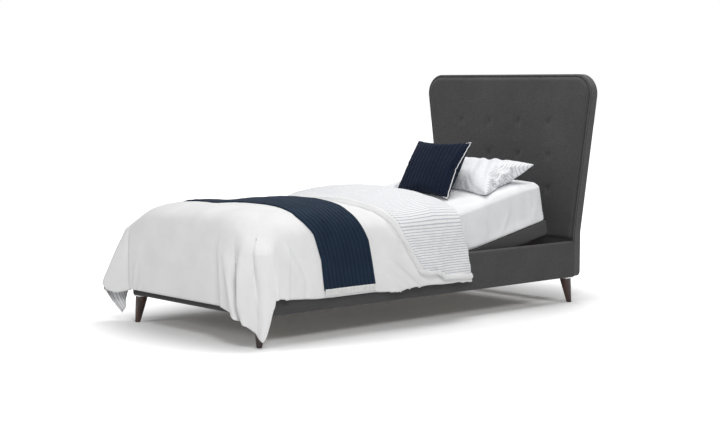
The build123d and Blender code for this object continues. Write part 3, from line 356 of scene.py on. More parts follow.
PLY_WOOD = timber("deck_ply", (0.40, 0.34, 0.27), (0.52, 0.46, 0.37), 0.6, "X")
BLACK_STEEL = metal("black_enamel", (0.022, 0.022, 0.024), 0.42, 0.0)
ZINC = metal("zinc", (0.55, 0.55, 0.56), 0.38)
BRIGHT = metal("bright_rod", (0.72, 0.72, 0.74), 0.18)
PLASTIC = moulded("housing_plastic", (0.020, 0.020, 0.022), 0.5)
RUBBER = moulded("black_rubber", (0.012, 0.012, 0.012), 0.8)

carried_over = [
    (CHARCOAL, [
        "rail_cover_left", "rail_cover_right", "rail_cover_foot", "seat_border", "head_border",
        "thigh_border", "calf_border", "headboard_back",
    ]),
    (CHARCOAL_LIGHT, ["headboard_band", "headboard_welt"]),
    (PANEL_WOOD, ["headboard_core", "rail_cores", "ledger_cleats"]),
    (PLY_WOOD, ["seat_board", "head_board", "thigh_board", "calf_board"]),
    (SLAT_WOOD, ["slats"]),
    (LEG_WOOD, ["leg_foot_left", "leg_foot_right", "leg_head_left", "leg_head_right"]),
    (ZINC, ["leg_plates", "corner_brackets", "corner_bolts", "hinge_pins"]),
    (BLACK_STEEL, [
        "base_side_tubes", "base_cross_tubes", "hinge_lugs", "seat_frame", "head_frame", "thigh_frame",
        "calf_frame", "link_arms", "actuator_brackets",
    ]),
    (BRIGHT, ["head_rod", "thigh_rod"]),
    (PLASTIC, ["head_actuator", "thigh_actuator", "actuator_motors", "control_box"]),
    (RUBBER, ["leg_glides", "base_feet"]),
]
for finish, names in carried_over:
    for name in names:
        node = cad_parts[name]
        if not node.material_slots:
            node.data.materials.append(finish)
        for slot in node.material_slots:
            slot.material = finish


# ---------------------------------------------------------------- mesh helpers


def smooth(t):
    return t * t * (3 - 2 * t)


def step(low, high, value):
    """0 at low and 1 at high, with a soft run between; low may be the greater."""
    return smooth(np.clip((value - low) / (high - low), 0, 1))


def lattice(ix, iy, seed):
    v = np.sin(ix * 127.1 + iy * 311.7 + seed * 74.7) * 43758.5453
    return v - np.floor(v)


def noise(x, y, seed):
    """Smooth noise from -1 to 1."""
    ix, iy = np.floor(x), np.floor(y)
    fx, fy = x - ix, y - iy
    u, v = smooth(fx), smooth(fy)
    low = lattice(ix, iy, seed) * (1 - u) + lattice(ix + 1, iy, seed) * u
    high = lattice(ix, iy + 1, seed) * (1 - u) + lattice(ix + 1, iy + 1, seed) * u
    return 2 * (low * (1 - v) + high * v) - 1


def rough(x, y, seed):
    """Three octaves of noise, from -1 to 1."""
    return sum(0.5**i * noise(x * 2**i, y * 2**i, seed + 17 * i) for i in range(3)) / 1.75


def folds(x, y, seed, sharp):
    """Ridged folds from 0 to 1, with soft crests."""
    return (1 - np.abs(noise(x, y, seed))) ** sharp


def normals(grid):
    """Unit normals of a grid of points, by its two directions."""
    n = np.cross(np.gradient(grid, axis=0), np.gradient(grid, axis=1))
    return n / np.maximum(np.linalg.norm(n, axis=-1, keepdims=True), 1e-9)


def up_normals(grid):
    """Normals of a grid, turned so that they point up in its middle."""
    n = normals(grid)
    return -n if n[grid.shape[0] // 2, grid.shape[1] // 2, 2] < 0 else n


def quads(index):
    a, b, c, d = index[:-1, :-1], index[1:, :-1], index[1:, 1:], index[:-1, 1:]
    return np.stack([a, b, c, d], axis=-1).reshape(-1, 4)


def rim_of(index):
    """The indices round the edge of a grid, in order."""
    return np.concatenate([index[0, :], index[1:, -1], index[-1, -2::-1], index[-2:0:-1, 0]])


def tube_faces(first, rings, sides):
    """Faces between closed rings of points that follow one another from the first index."""
    faces = []
    for a in range(first, first + (rings - 1) * sides, sides):
        for s in range(sides):
            t = (s + 1) % sides
            faces.append([a + s, a + t, a + sides + t, a + sides + s])
    return faces


def make_piece(name, points, faces, material, cloth=None):
    """A smooth piece from points in millimetres; cloth is each point's place on its cloth."""
    mesh = bpy.data.meshes.new(name)
    mesh.from_pydata(metres(points).tolist(), [], [list(map(int, f)) for f in faces])
    mesh.validate()
    mesh.polygons.foreach_set("use_smooth", np.ones(len(mesh.polygons), dtype=bool))
    if cloth is not None:
        spot = mesh.attributes.new("cloth", "FLOAT_VECTOR", "POINT")
        spot.data.foreach_set("vector", np.asarray(cloth, dtype=np.float32).reshape(-1))
    mesh.materials.append(material)
    return add_object(name, mesh)


def shell(name, outer, inner, material, cloth, roll=0.5, skip=(), lining=None, joined=None):
    """A sheet of cloth with body: an outer grid, a grid under it and a rounded rim.

    skip names ends that are cut plain, joined an edge without a rim, lining the inner face's material.
    """
    rows, cols = outer.shape[:2]
    count = rows * cols
    index = np.arange(count).reshape(rows, cols)
    outer, inner, cloth = (grid.reshape(-1, 3) for grid in (outer, inner, cloth))
    points, marks = [outer, inner], [cloth, cloth]
    faces = [quads(index), quads(index + count)[:, ::-1]]
    total = 2 * count
    edges = {
        "u0": (index[0, :], index[1, :], False), "u1": (index[-1, :], index[-2, :], True),
        "v0": (index[:, 0], index[:, 1], True), "v1": (index[:, -1], index[:, -2], False),
    }
    for key, (line, inside_line, flip) in edges.items():
        if key == joined:
            continue
        out_dir = outer[line] - outer[inside_line]
        out_dir /= np.maximum(np.linalg.norm(out_dir, axis=1, keepdims=True), 1e-9)
        gap = np.linalg.norm(outer[line] - inner[line], axis=1, keepdims=True)
        points.append((outer[line] + inner[line]) / 2 + out_dir * gap * (0.0 if key in skip else roll))
        marks.append(cloth[line])
        mid = np.arange(total, total + len(line))
        total += len(line)
        for a, b in ((line, mid), (mid, line + count)):
            strip = np.stack([a[:-1], a[1:], b[1:], b[:-1]], axis=-1)
            faces.append(strip[:, ::-1] if flip else strip)
    obj = make_piece(name, np.vstack(points), np.vstack(faces), material, np.vstack(marks))
    if lining:
        obj.data.materials.append(lining)
        per_side = (rows - 1) * (cols - 1)
        for face in obj.data.polygons[per_side:2 * per_side]:
            face.material_index = 1
    return weld(obj)


def weld(obj):
    """Joins points that fall together, drops loose ones and turns every face outward."""
    work = bmesh.new()
    work.from_mesh(obj.data)
    bmesh.ops.remove_doubles(work, verts=work.verts, dist=0.0001)
    bmesh.ops.recalc_face_normals(work, faces=work.faces)
    loose = [v for v in work.verts if not v.link_faces]
    bmesh.ops.delete(work, geom=loose, context="VERTS")
    work.to_mesh(obj.data)
    work.free()
    return obj


def interp(value, table):
    keys = sorted(table)
    return np.interp(value, [k[0] for k in keys], [k[1] for k in keys])


# ---------------------------------------------------------------- mattress in its fitted sheet

HALF, LOW, HIGH = 480.0, 330.3, 580.3
TOP_ROUND, LOW_ROUND, END_ROUND = 45.0, 20.0, 34.0
HEAD_HINGE_Y, HINGE_Z = 1405.0, 320.0
BEND_Y = HEAD_HINGE_Y - (LOW - HINGE_Z) * math.tan(HEAD_TILT / 2)
BEND_START = 1295.0
BEND_TANGENT = BEND_Y - BEND_START
BEND_RADIUS = BEND_TANGENT / math.tan(HEAD_TILT / 2)


def ring_points(half, low, high):
    """Round the mattress's section, from the middle of its underside."""
    pts = [(x, low) for x in np.linspace(0, half - LOW_ROUND, 10)[:-1]]

    def corner(x, z, radius, start):
        for a in np.linspace(start, start + math.pi / 2, 9):
            pts.append((x + radius * math.cos(a), z + radius * math.sin(a)))

    corner(half - LOW_ROUND, low + LOW_ROUND, LOW_ROUND, -math.pi / 2)
    pts.extend((half, z) for z in np.linspace(low + LOW_ROUND, high - TOP_ROUND, 16)[1:-1])
    corner(half - TOP_ROUND, high - TOP_ROUND, TOP_ROUND, 0)
    pts.extend((x, high) for x in np.linspace(half - TOP_ROUND, 0, 16)[1:])
    right = np.array(pts)
    left = right[::-1].copy()
    left[:, 0] *= -1
    return np.vstack([right, left[1:-1]])


def along_mattress(y):
    """Place on the mattress's underside and its slope, for a length drawn flat."""
    if y <= BEND_START:
        return y, LOW, 0.0
    arc = BEND_RADIUS * HEAD_TILT
    if y < BEND_START + arc:
        a = (y - BEND_START) / BEND_RADIUS
        return BEND_START + BEND_RADIUS * math.sin(a), LOW + BEND_RADIUS * (1 - math.cos(a)), a
    rest = y - BEND_START - arc
    base_y = BEND_START + BEND_RADIUS * math.sin(HEAD_TILT)
    base_z = LOW + BEND_RADIUS * (1 - math.cos(HEAD_TILT))
    return base_y + rest * math.cos(HEAD_TILT), base_z + rest * math.sin(HEAD_TILT), HEAD_TILT


MATTRESS_END = 2085.0 + (BEND_RADIUS * HEAD_TILT - 2 * BEND_TANGENT)


def mattress_piece(name, y_start, y_end, ends):
    """One run of mattress; ends names which of foot and head close with a rounded end."""
    samples = list(np.arange(y_start, y_end, 12.0)) + [y_end]
    if samples[-1] - samples[-2] < 4:
        samples.pop(-2)
    rings = []
    for y in samples:
        half, shrink = HALF, 0.0
        for end, d in (("foot", (y - y_start) / END_ROUND), ("head", (y_end - y) / END_ROUND)):
            if end in ends and d < 1:
                half = HALF - END_ROUND * (1 - math.sqrt(max(1 - (1 - d) ** 2, 0)))
                shrink = 26 * (1 - math.sqrt(max(1 - (1 - d) ** 4, 0)))
        section = ring_points(half, shrink * 0.4, HIGH - LOW - shrink)
        x, w = section[:, 0], section[:, 1]
        crown = step(HIGH - LOW - 70, HIGH - LOW - 4, w)
        w = w - crown * (17 * (np.abs(x) / HALF) ** 2.5 + 16 * step(MATTRESS_END - 200, MATTRESS_END, y))
        side = step(HALF - 60, HALF - 8, np.abs(x)) * step(8, 60, w) * step(-2, 30, HIGH - LOW - w)
        crease = folds(y / 74 + noise(w / 120, y / 200, 5) * 0.5 - w / 400, w / 520, 3, 2.4)
        second = folds(y / 41 + w / 500, w / 300, 7, 3.0)
        out = side * (11.0 * crease + 4.0 * second + 1.0 * noise(y / 16, w / 200, 9) - 9.0)
        lift = step(HIGH - LOW - 3, HIGH - LOW, w) * (1.4 * rough(x / 120, y / 90, 21))
        x = x + np.sign(x) * out * (np.abs(x) > HALF - 80)
        w = w + lift
        base_y, base_z, a = along_mattress(y)
        rings.append(np.stack([x, base_y - w * math.sin(a), base_z + w * math.cos(a)], axis=-1))
    grid = np.array(rings)
    rows, cols = grid.shape[:2]
    index = np.arange(rows * cols).reshape(rows, cols)
    index = np.hstack([index, index[:, :1]])
    faces = [list(f) for f in quads(index)]
    points = list(grid.reshape(-1, 3))
    for row, flip in ((0, True), (rows - 1, False)):
        middle = len(points)
        points.append(grid[row].mean(axis=0))
        ring = index[row]
        for i in range(cols):
            tri = [ring[i], ring[i + 1], middle]
            faces.append(tri[::-1] if flip else tri)
    return weld(make_piece(name, np.array(points), faces, SHEET))


def crease_ends(obj, planes):
    """Keeps the shading straight where a piece is cut across, at each Y in planes."""
    mesh = obj.data
    flat = [y / 1000 - ORIGIN_Y / 1000 for y in planes]
    mesh.shade_smooth()
    sharp = np.zeros(len(mesh.edges), dtype=bool)
    co = np.array([v.co for v in mesh.vertices])
    touching = {}
    for face in mesh.polygons:
        cap = any(all(abs(co[v][1] - y) < 1e-5 for v in face.vertices) for y in flat)
        for key in face.edge_keys:
            touching.setdefault(key, []).append(cap)
    for i, edge in enumerate(mesh.edges):
        caps = touching.get(tuple(sorted(edge.vertices)), [])
        sharp[i] = len(set(caps)) > 1
    attr = mesh.attributes.get("sharp_edge") or mesh.attributes.new("sharp_edge", "BOOLEAN", "EDGE")
    attr.data.foreach_set("value", sharp)


def spot(y):
    """A place over the middle of the bed at the hinges' height, in metres."""
    return (0.0, (y - ORIGIN_Y) / 1000, HINGE_Z / 1000)


mattress_foot = mattress_piece("mattress_foot", 53.0, CUT_THIGH, ["foot"])
mattress_middle = mattress_piece("mattress_middle", CUT_THIGH, CUT_SEAT, [])
mattress_top = mattress_piece("mattress_top", CUT_SEAT, MATTRESS_END, ["head"])
crease_ends(mattress_foot, [CUT_THIGH])
crease_ends(mattress_middle, [CUT_THIGH, CUT_SEAT])
crease_ends(mattress_top, [CUT_SEAT])
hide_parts("mattress_calf")
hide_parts("mattress_thigh", "mattress_hip")
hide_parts("mattress_seat", "mattress_waist", "mattress_head")
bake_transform(mattress_foot)
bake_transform(mattress_middle)
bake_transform(mattress_top)


# ---------------------------------------------------------------- duvet

WIDE = 553.0
FOOT = -33.0
CORNER = 62.0
SHOULDER_Z = 500.0
DUVET_THICK = 14.0
PITCH = 7.0
BED_MIDDLE = np.array([0.0, 700.0, 100.0])
# Distances in from the outline, close together where the duvet turns over its edge.
INSET = np.array([
    0, 0.4, 1.2, 2.6, 4.6, 7.4, 11, 15.5, 21, 28, 36, 46, 58, 72, 88, 108, 132, 160, 192, 228, 268, 312, 360,
    412, 460, 508, 553,
], dtype=float)
WALL = 44
TURN = CORNER * math.pi / 4


def crest(x, y):
    """Height of the duvet's crown: soft over the foot, higher where it is folded double."""
    along = interp(y, [(-33, -4), (120, -12), (270, -16), (420, -8), (600, -9), (777, -38), (860, -34),
                       (1000, -8), (1120, 8), (1200, 4), (1290, -20)])
    ridge = 160 - 160 * step(800, 1050, y)
    top = np.maximum(658 - 0.00017 * (x - ridge) ** 2, 616 + 30 * step(600, 200, y) * step(60, -260, x))
    return top + along


def rounded(d):
    """Share of the full height over a distance in from the outline."""
    return (1 - np.clip(1 - np.maximum(d, 0) / WIDE, 0, 1) ** 6) ** (1 / 2.4)


def top_height(x, y):
    """Height of the duvet's outer face over a place on the bed."""
    dx, dy = WIDE - np.abs(x), np.maximum(y - FOOT, 0)
    fall = (55 + 40 * step(-200, 200, x)) * np.exp(-((dx / 125) ** 2 + (dy / 125) ** 2))
    return SHOULDER_Z + (crest(x, y) - SHOULDER_Z) * rounded(dx) * rounded(dy) - fall


def wrinkle(x, y, z, side):
    """Soft wrinkles of the duvet, outward in millimetres; side is 1 on a hanging face."""
    slow = 3.6 * rough(x / 210 + 3, y / 170, 31) + 1.6 * rough(x / 80, y / 62, 37)
    slow = slow + 2.6 * folds(x / 150 + y / 400, y / 75, 33, 2.5) * step(640, 760, y)
    turn = (y * 0.62 + z * 0.80) / 92
    diagonal = 20.0 * folds(turn, (z * 0.6 - y * 0.8) / 420, 41, 1.6)
    diagonal = diagonal + 6.5 * folds(turn * 2.3, z / 190, 43, 2.0)
    diagonal = diagonal * step(690, 860, y) * step(560, 430, z)
    hang = 1.2 + 5.0 * folds(y / 92 + 0.3 * noise(z / 160, y / 300, 3), z / 700, 47, 2.0)
    return (1 - side) * slow + side * (hang + diagonal)


def up_wall(hem, k):
    """Height of step k up a hanging face, from its hem to the shoulder."""
    return hem + (SHOULDER_Z - hem) * (k / (WALL - 1))


def side_hem(y):
    return interp(y, [(150, 222), (350, 209), (710, 208), (849, 197), (1035, 212), (1384, 200)])


def hem_height(t, place, far):
    """Height of the hem; t runs along the outline from a corner's middle, positive on the bed's side."""
    if far:
        table = [(-110, 182), (-60, 182), (-30, 172), (-10, 156), (2, 166), (12, 205), (22, 140), (33, 46),
                 (56, 70), (100, 190), (150, 215)]
    else:
        table = [(-300, 182), (-225, 180), (-160, 160), (-108, 146), (-60, 130), (-25, 114), (0, 76),
                 (17, 42), (24, 60), (33, 118), (43, 186), (58, 222), (125, 229), (190, 222)]
    corner = interp(t, table)
    straight = side_hem(place[1]) if t > 0 else 182.0
    return corner if -300 < t < 150 else straight


def foot_path():
    """The duvet's outline round the foot: places, ways out, distances from the corners, hem heights."""
    bend, end = FOOT + CORNER, WIDE - CORNER
    straight = [CUT_THIGH + PITCH, CUT_THIGH] + list(np.arange(CUT_THIGH - PITCH, bend + 230, -PITCH))
    straight += list(np.linspace(bend + 230, bend, 52)[:-1])
    foot_x = list(np.linspace(-end, -120, 66)[1:]) + list(np.linspace(-120, end, 150)[1:-1])
    far_arc, near_arc = np.linspace(math.pi, 1.5 * math.pi, 26), np.linspace(1.5 * math.pi, 2 * math.pi, 26)

    def arc(middle, a, turn):
        way = (math.cos(a), math.sin(a))
        return (middle + CORNER * way[0], bend + CORNER * way[1], *way, turn * CORNER)

    rows = [(-WIDE, y, -1.0, 0.0, y - FOOT - CORNER + TURN) for y in straight]
    rows += [arc(-end, a, 1.25 * math.pi - a) for a in far_arc]
    rows += [(x, FOOT, 0.0, -1.0, -(end - abs(x)) - TURN) for x in foot_x]
    rows += [arc(end, a, a - 1.75 * math.pi) for a in near_arc]
    rows += [(WIDE, y, 1.0, 0.0, y - FOOT - CORNER + TURN) for y in straight[::-1]]
    rows = np.array(rows)
    places, ways, turns = rows[:, :2], rows[:, 2:4], rows[:, 4]
    hems = np.array([hem_height(t, p, p[0] < 0) for t, p in zip(turns, places)])
    return places, ways, turns, hems


def corner_flare(t, z, far):
    """How far the cloth stands out where it falls from a foot corner, as a cone."""
    if far:
        flare = interp(z, [(40, 56), (110, 112), (190, 148), (215, 146), (260, 128), (319, 100), (398, 64),
                           (445, 38), (480, 20), (520, 6), (560, 0)])
        return flare * np.exp(-(((t - 12) / np.where(t < 12, 26.0, 100.0)) ** 2))
    flare = interp(z, [(30, 40), (120, 48), (215, 48), (319, 39), (398, 27), (445, 17), (480, 7), (510, 0)])
    return flare * np.exp(-((t / np.where(t < 0, 110.0, 92.0)) ** 2))


# The ridges and grooves at the foot corners, each as its line of (height, distance from the corner),
# its width and depth, the stretch of its two flanks, and the heights between which it fades in.
FAR_LINES = [
    ([(150, -34), (440, -26)], 9, -19, 1.0, 0.8, (520, 440)),
    ([(60, 60), (430, 95)], 16, -18, 1.0, 1.0, (430, 300)),
    ([(60, 120), (430, 150)], 22, 12, 1.0, 1.0, (400, 280)),
]
NEAR_LINES = [
    ([(150, -228), (267, -236), (470, -258)], 22, 19, 0.24, 3.4, (535, 440)),
    ([(80, -60), (130, -96), (420, -196)], 28, 26, 1.0, 1.0, (545, 270)),
    ([(60, -30), (130, -62), (330, -136), (420, -150)], 13, -34, 0.7, 1.4, (545, 270)),
    ([(60, -16), (480, -88)], 22, 24, 1.0, 1.0, (540, 320)),
    ([(60, 2), (215, 6), (306, 0), (420, -12), (502, -30)], 17, -44, 2.2, 0.55, (535, 360)),
    ([(60, 20), (230, 36), (480, 40)], 18, 20, 0.8, 3.0, (540, 330)),
    ([(90, 60), (480, 108)], 14, -22, 1.0, 1.0, (545, 270)),
    ([(200, 168), (463, 175)], 18, 14, 1.6, 0.6, (545, 430)),
    ([(300, 300), (406, 238), (502, 160)], 16, -12, 1.5, 0.7, (555, 450)),
]


def corner_swell(t, z, lines):
    """Ridges and grooves of the cloth gathered at a foot corner."""
    total = 0
    for line, width, depth, left, right, (low, high) in lines:
        u = (t - interp(z, line)) / width
        u = np.where(u < 0, u / left, u / right)
        total = total + depth * np.exp(-(u**2)) * step(low, high, z)
    return total


def fine_folds(t, z):
    """Small creases running down into the gathered corner."""
    near = np.exp(-((t / 170.0) ** 2)) * step(430, 200, z)
    return near * (8.0 * folds(t / 26 + z / 160, z / 260, 53, 2.0) + 3.0 * folds(t / 12, z / 130, 57, 2.0))


def duvet_foot():
    """Outer face of the duvet's foot end, from the cut edge on one side round the foot to the other."""
    places, ways, turns, hems = foot_path()
    count = len(places)
    wall_top = top_height(places[:, 0], places[:, 1])
    wall = np.zeros((count, WALL, 3))
    for j, share in enumerate(np.linspace(0, 1, WALL)):
        wall[:, j, 0], wall[:, j, 1] = places[:, 0], places[:, 1]
        wall[:, j, 2] = hems + (wall_top - hems) * share
    top = np.zeros((count, len(INSET) - 1, 3))
    target = np.stack([np.zeros(count), np.maximum(places[:, 1], 450.0)], axis=-1)
    first = CORNER * 0.9
    for j, inset in enumerate(INSET[1:]):
        near = places - ways * min(inset, first)
        if inset > first:
            near = near + (target - near) * (inset - first) / (WIDE - first)
        top[:, j, 0], top[:, j, 1] = near[:, 0], near[:, 1]
        top[:, j, 2] = top_height(near[:, 0], near[:, 1])
    grid = np.concatenate([wall, top], axis=1)
    left = places[:, :1] < 0
    z = grid[..., 2].copy()
    near_corner = step(330, 270, np.abs(turns))[:, None]
    t = turns[:, None] * np.ones_like(z)
    swell = np.where(left, corner_swell(t, z, FAR_LINES), corner_swell(t, z, NEAR_LINES)) + fine_folds(t, z)
    flare = np.where(left, corner_flare(t, z, True), corner_flare(t, z, False)) * near_corner
    out = np.concatenate([ways, np.zeros((count, 1))], axis=1)[:, None, :]
    lean = np.where(left[:, :, None], np.array([-0.72, -0.60, 0.0]), out)
    grid = grid + out * (swell * near_corner)[..., None] + lean * flare[..., None]
    soft_zone = (step(260, 120, grid[..., 1]) * (0.35 + 0.65 * step(400, 470, grid[..., 2])))[..., None]
    inner_rows = (np.arange(grid.shape[1]) < grid.shape[1] - 4)[None, :, None]
    for _ in range(5):
        mean = grid.copy()
        mean[1:-1, 1:-1] = (grid[:-2, 1:-1] + grid[2:, 1:-1] + grid[1:-1, :-2] + grid[1:-1, 2:]) / 4
        grid = grid + (mean - grid) * 0.5 * soft_zone * inner_rows
    n = normals(grid)
    if n[count // 2, WALL // 2, 1] > 0:
        n = -n
    side = step(SHOULDER_Z + 60, SHOULDER_Z - 40, grid[..., 2])
    push = wrinkle(grid[..., 0], grid[..., 1], grid[..., 2], side)
    middle = step(0, 6, np.arange(grid.shape[1])[::-1])[None, :, None]
    n = n * middle + np.array([0, 0, 1.0]) * (1 - middle)
    grid = grid + n * push[..., None]
    return grid[1:-1]


def section_line(y):
    """The duvet's outer face across the bed at one Y, from the left hem over the top to the right hem."""
    hem = float(side_hem(y))
    wall_top = float(top_height(WIDE, y))
    heights = hem + (wall_top - hem) * np.linspace(0, 1, WALL)
    wall = np.stack([np.full(WALL, WIDE), np.full(WALL, float(y)), heights], axis=-1)
    x = WIDE - INSET[1:]
    top = np.stack([x, np.full(len(x), float(y)), top_height(x, float(y))], axis=-1)
    right = np.vstack([wall, top])
    left = right.copy()
    left[:, 0] *= -1
    left[:, 2] = np.concatenate([wall[:, 2], top_height(-x, float(y))])
    return np.vstack([left, right[::-1][1:]])


def on_side(grid):
    return step(SHOULDER_Z + 60, SHOULDER_Z - 40, grid[..., 2])


def head_edge(z):
    """Y of the duvet's head edge at a height."""
    return interp(z, [(200, 1384), (359, 1353), (445, 1320), (493, 1311), (577, 1300), (620, 1312),
                      (700, 1318)])


def faces_in(grid):
    return (normals(grid) * (grid - BED_MIDDLE)).sum(axis=-1).mean() < 0


def outward(grid):
    """The grid, with its second direction turned round where its normals point inward."""
    return grid[:, ::-1] if faces_in(grid) else grid


foot_grid = duvet_foot()
y_rows = np.concatenate([np.linspace(CUT_THIGH, CUT_SEAT, 54), np.linspace(CUT_SEAT, 1300, 15)[1:]])
y_rows = np.concatenate([[CUT_THIGH - PITCH], y_rows])
body_grid = np.array([section_line(y) for y in y_rows])
body_push = wrinkle(body_grid[..., 0], body_grid[..., 1], body_grid[..., 2], on_side(body_grid))
body_grid = (body_grid + up_normals(body_grid) * body_push[..., None])[1:]
seam = np.vstack([foot_grid[0], foot_grid[-1][::-1][1:]])
ease = (1 - step(0, 6, np.arange(len(body_grid))))[:, None, None]
body_grid = body_grid + (seam - body_grid[0])[None] * ease
for edge_row in (foot_grid[0], foot_grid[-1], body_grid[0]):
    edge_row[:, 1] = CUT_THIGH
body_grid[53, :, 1] = CUT_SEAT
middle_grid, end_grid = body_grid[:54], body_grid[53:].copy()
share = np.linspace(0, 1, len(end_grid))[:, None]
end_grid[..., 1] = CUT_SEAT + (head_edge(end_grid[..., 2]) - 6 - CUT_SEAT) * share


def lined(name, grid, across, skip):
    """A run of the duvet, white outside and striped inside; across is its stripes' own direction."""
    grid = outward(grid)
    near = ((WIDE - np.abs(grid[..., 0])) / 190) ** 2 + ((grid[..., 1] - FOOT) / 190) ** 2
    thick = DUVET_THICK - 9.5 * (np.exp(-near) * step(600, 500, grid[..., 2]))[..., None]
    steps = np.linalg.norm(np.diff(grid, axis=across), axis=-1).mean(axis=1 - across) / 1000
    place = np.concatenate([[0.0], np.cumsum(steps)])
    place = place[:, None] if across == 0 else place[None, :]
    cloth_points = np.stack([place + 0 * grid[..., 0], grid[..., 2] / 1000, 0 * grid[..., 0]], axis=-1)
    inner = grid - normals(grid) * thick
    for key, row in (("u0", 0), ("u1", -1)):
        if key in skip:
            inner[row, :, 1] = grid[row, :, 1]
    joined = None
    for key, column in (("v0", 0), ("v1", -1)):
        if np.abs(grid[:, column, 0]).max() < 1:
            joined = key
            inner[:, column] = grid[:, column] - np.array([0, 0, DUVET_THICK])
    return shell(name, grid, inner, DUVET, cloth_points, 0.45, skip, STRIPES, joined)


duvet_a = lined("duvet_foot", foot_grid, 0, ("u0", "u1"))
duvet_b = lined("duvet_middle", middle_grid, 1, ("u0", "u1"))
duvet_c = lined("duvet_end", end_grid, 1, ("u0",))
crease_ends(duvet_a, [CUT_THIGH])
crease_ends(duvet_b, [CUT_THIGH, CUT_SEAT])
crease_ends(duvet_c, [CUT_SEAT])


# ---------------------------------------------------------------- the duvet's folded-back layer


def fold_front(x, z):
    """Y of the rolled front edge of the folded layer, by place on the section."""
    down = interp(z, [(150, 1052), (262, 1024), (276, 1000), (369, 922), (449, 866), (532, 824),
                      (575, 793), (604, 777)])
    top = 777 + 9 * noise(x / 190, 0 * x, 5)
    return np.where(np.abs(x) > 545, down, np.where(z > 604, top, np.minimum(down, top + 60)))


def fold_hem(y):
    return interp(y, [(777, 268), (1049, 268), (1100, 266), (1150, 260), (1250, 244), (1384, 222)])


FOLD_CORNER_Y = 1049  # where the rolled front edge meets the hem
FOLD_END_Y, FOLD_END_HEM, FOLD_SHORT = 1300.0, 206, 22
FOLD_ROLL, FOLD_ROLL_RUN = 27, 22
# Distances back from the rolled front edge, close together over the roll.
STEPS = np.array([
    0, 0.35, 1.2, 2.6, 4.6, 7.2, 10.5, 14, 17.5, 20.5, 22.6, 24, 25.4, 27.5, 31, 36, 43, 52, 64, 78, 95,
])


def folded_layer():
    """Base grid of the folded layer, front edge to head edge, and each point's place back from the front."""
    far_rows = 44
    rows = len(STEPS) + far_rows
    line = section_line(900)
    cols = len(line)
    grid, edge = np.zeros((rows, cols, 3)), np.zeros((rows, cols))
    for c in range(cols):
        x = line[c, 0]
        k = min(c, cols - 1 - c)
        hangs = k < WALL
        z_front = up_wall(fold_hem(FOLD_CORNER_Y), k) if hangs else line[c, 2]
        low = float(fold_front(np.array(x), np.array(z_front)))
        z_end = up_wall(FOLD_END_HEM, k) if hangs else float(top_height(x, FOLD_END_Y))
        run = float(head_edge(z_end)) - FOLD_SHORT - low - STEPS[-1]
        back = low + STEPS[-1] + run * np.linspace(0, 1, far_rows + 1)[1:]
        ys = np.concatenate([low + STEPS, back])
        z = up_wall(fold_hem(ys), k) if hangs else top_height(np.full(len(ys), x), ys)
        grid[:, c, 0], grid[:, c, 1], grid[:, c, 2] = x, ys, z
        edge[:, c] = ys - low
    return grid, edge


fold_base, fold_edge = folded_layer()
fold_n = up_normals(fold_base)
fold_side = on_side(fold_base)
fold_x, fold_y, fold_z = fold_base[..., 0], fold_base[..., 1], fold_base[..., 2]
fold_under = wrinkle(fold_x, fold_y, fold_z, fold_side)
round_front = np.sqrt(np.maximum(1 - (1 - np.clip(fold_edge / FOLD_ROLL_RUN, 0, 1)) ** 2, 0))
fold_lift = FOLD_ROLL * round_front - 9 * step(21, 60, fold_edge)
fold_lift = fold_lift - 7.5 * np.exp(-(((fold_edge - 25) / 3.0) ** 2))
hem_gap = fold_z - fold_hem(fold_y)
hem_roll = 7 * np.exp(-(((hem_gap - 8) / 16) ** 2))
fold_lift = fold_lift + hem_roll - 6 * np.exp(-(((hem_gap - 26) / 5.0) ** 2)) * fold_side
puckers = 3.2 * folds(fold_edge / 70, (fold_z + fold_x * 0.6) / 26, 67, 2.0)
puckers = puckers * np.exp(-(((fold_edge - 40) / 55) ** 2))
swells = 5.0 * rough(fold_x / 190 + 7, fold_y / 150, 61)
swells = swells + 3.5 * folds(fold_y / 95 + fold_z / 300, (fold_z + fold_x) / 210, 63, 2.0)
fold_lift = fold_lift + (puckers + np.maximum(swells, -4)) * step(20, 70, fold_edge)
fold_outer = fold_base + fold_n * (fold_under + fold_lift + 1.5)[..., None]
fold_inner = fold_base + fold_n * (fold_under + 1.2)[..., None]
cut_row = int(np.argmin(np.abs(fold_base[:, fold_base.shape[1] // 2, 1] - CUT_SEAT)))
for c in range(fold_base.shape[1]):
    for sheet_grid in (fold_outer, fold_inner):
        y = sheet_grid[:, c, 1]
        row_y = y[cut_row]
        below = np.arange(len(y)) <= cut_row
        start = y[len(STEPS) - 1]
        stop = y[-1]
        low_scale = (CUT_SEAT - start) / (row_y - start)
        high_scale = (stop - CUT_SEAT) / (stop - row_y)
        moved = np.where(below, start + (y - start) * low_scale, stop - (stop - y) * high_scale)
        sheet_grid[len(STEPS) - 1:, c, 1] = moved[len(STEPS) - 1:]


def arc_across(grid):
    """Distance across each row of a grid, in metres, counted from its middle."""
    d = np.linalg.norm(np.diff(grid, axis=1), axis=-1)
    s = np.concatenate([np.zeros((grid.shape[0], 1)), np.cumsum(d, axis=1)], axis=1)
    return (s - s[:, grid.shape[1] // 2][:, None]) / 1000


def cloth_across(grid):
    """Cloth coordinates whose first runs across the bed, so that stripes run along it."""
    s = np.broadcast_to(arc_across(section_line(1000)[None])[0], grid.shape[:2]).copy()
    wall = on_side(grid)
    s = s * (1 - wall) + wall * np.sign(grid[..., 0]) * ((SHOULDER_Z - grid[..., 2]) / 1000 + 0.60)
    return np.stack([s, grid[..., 1] / 1000, np.zeros_like(s)], axis=-1)


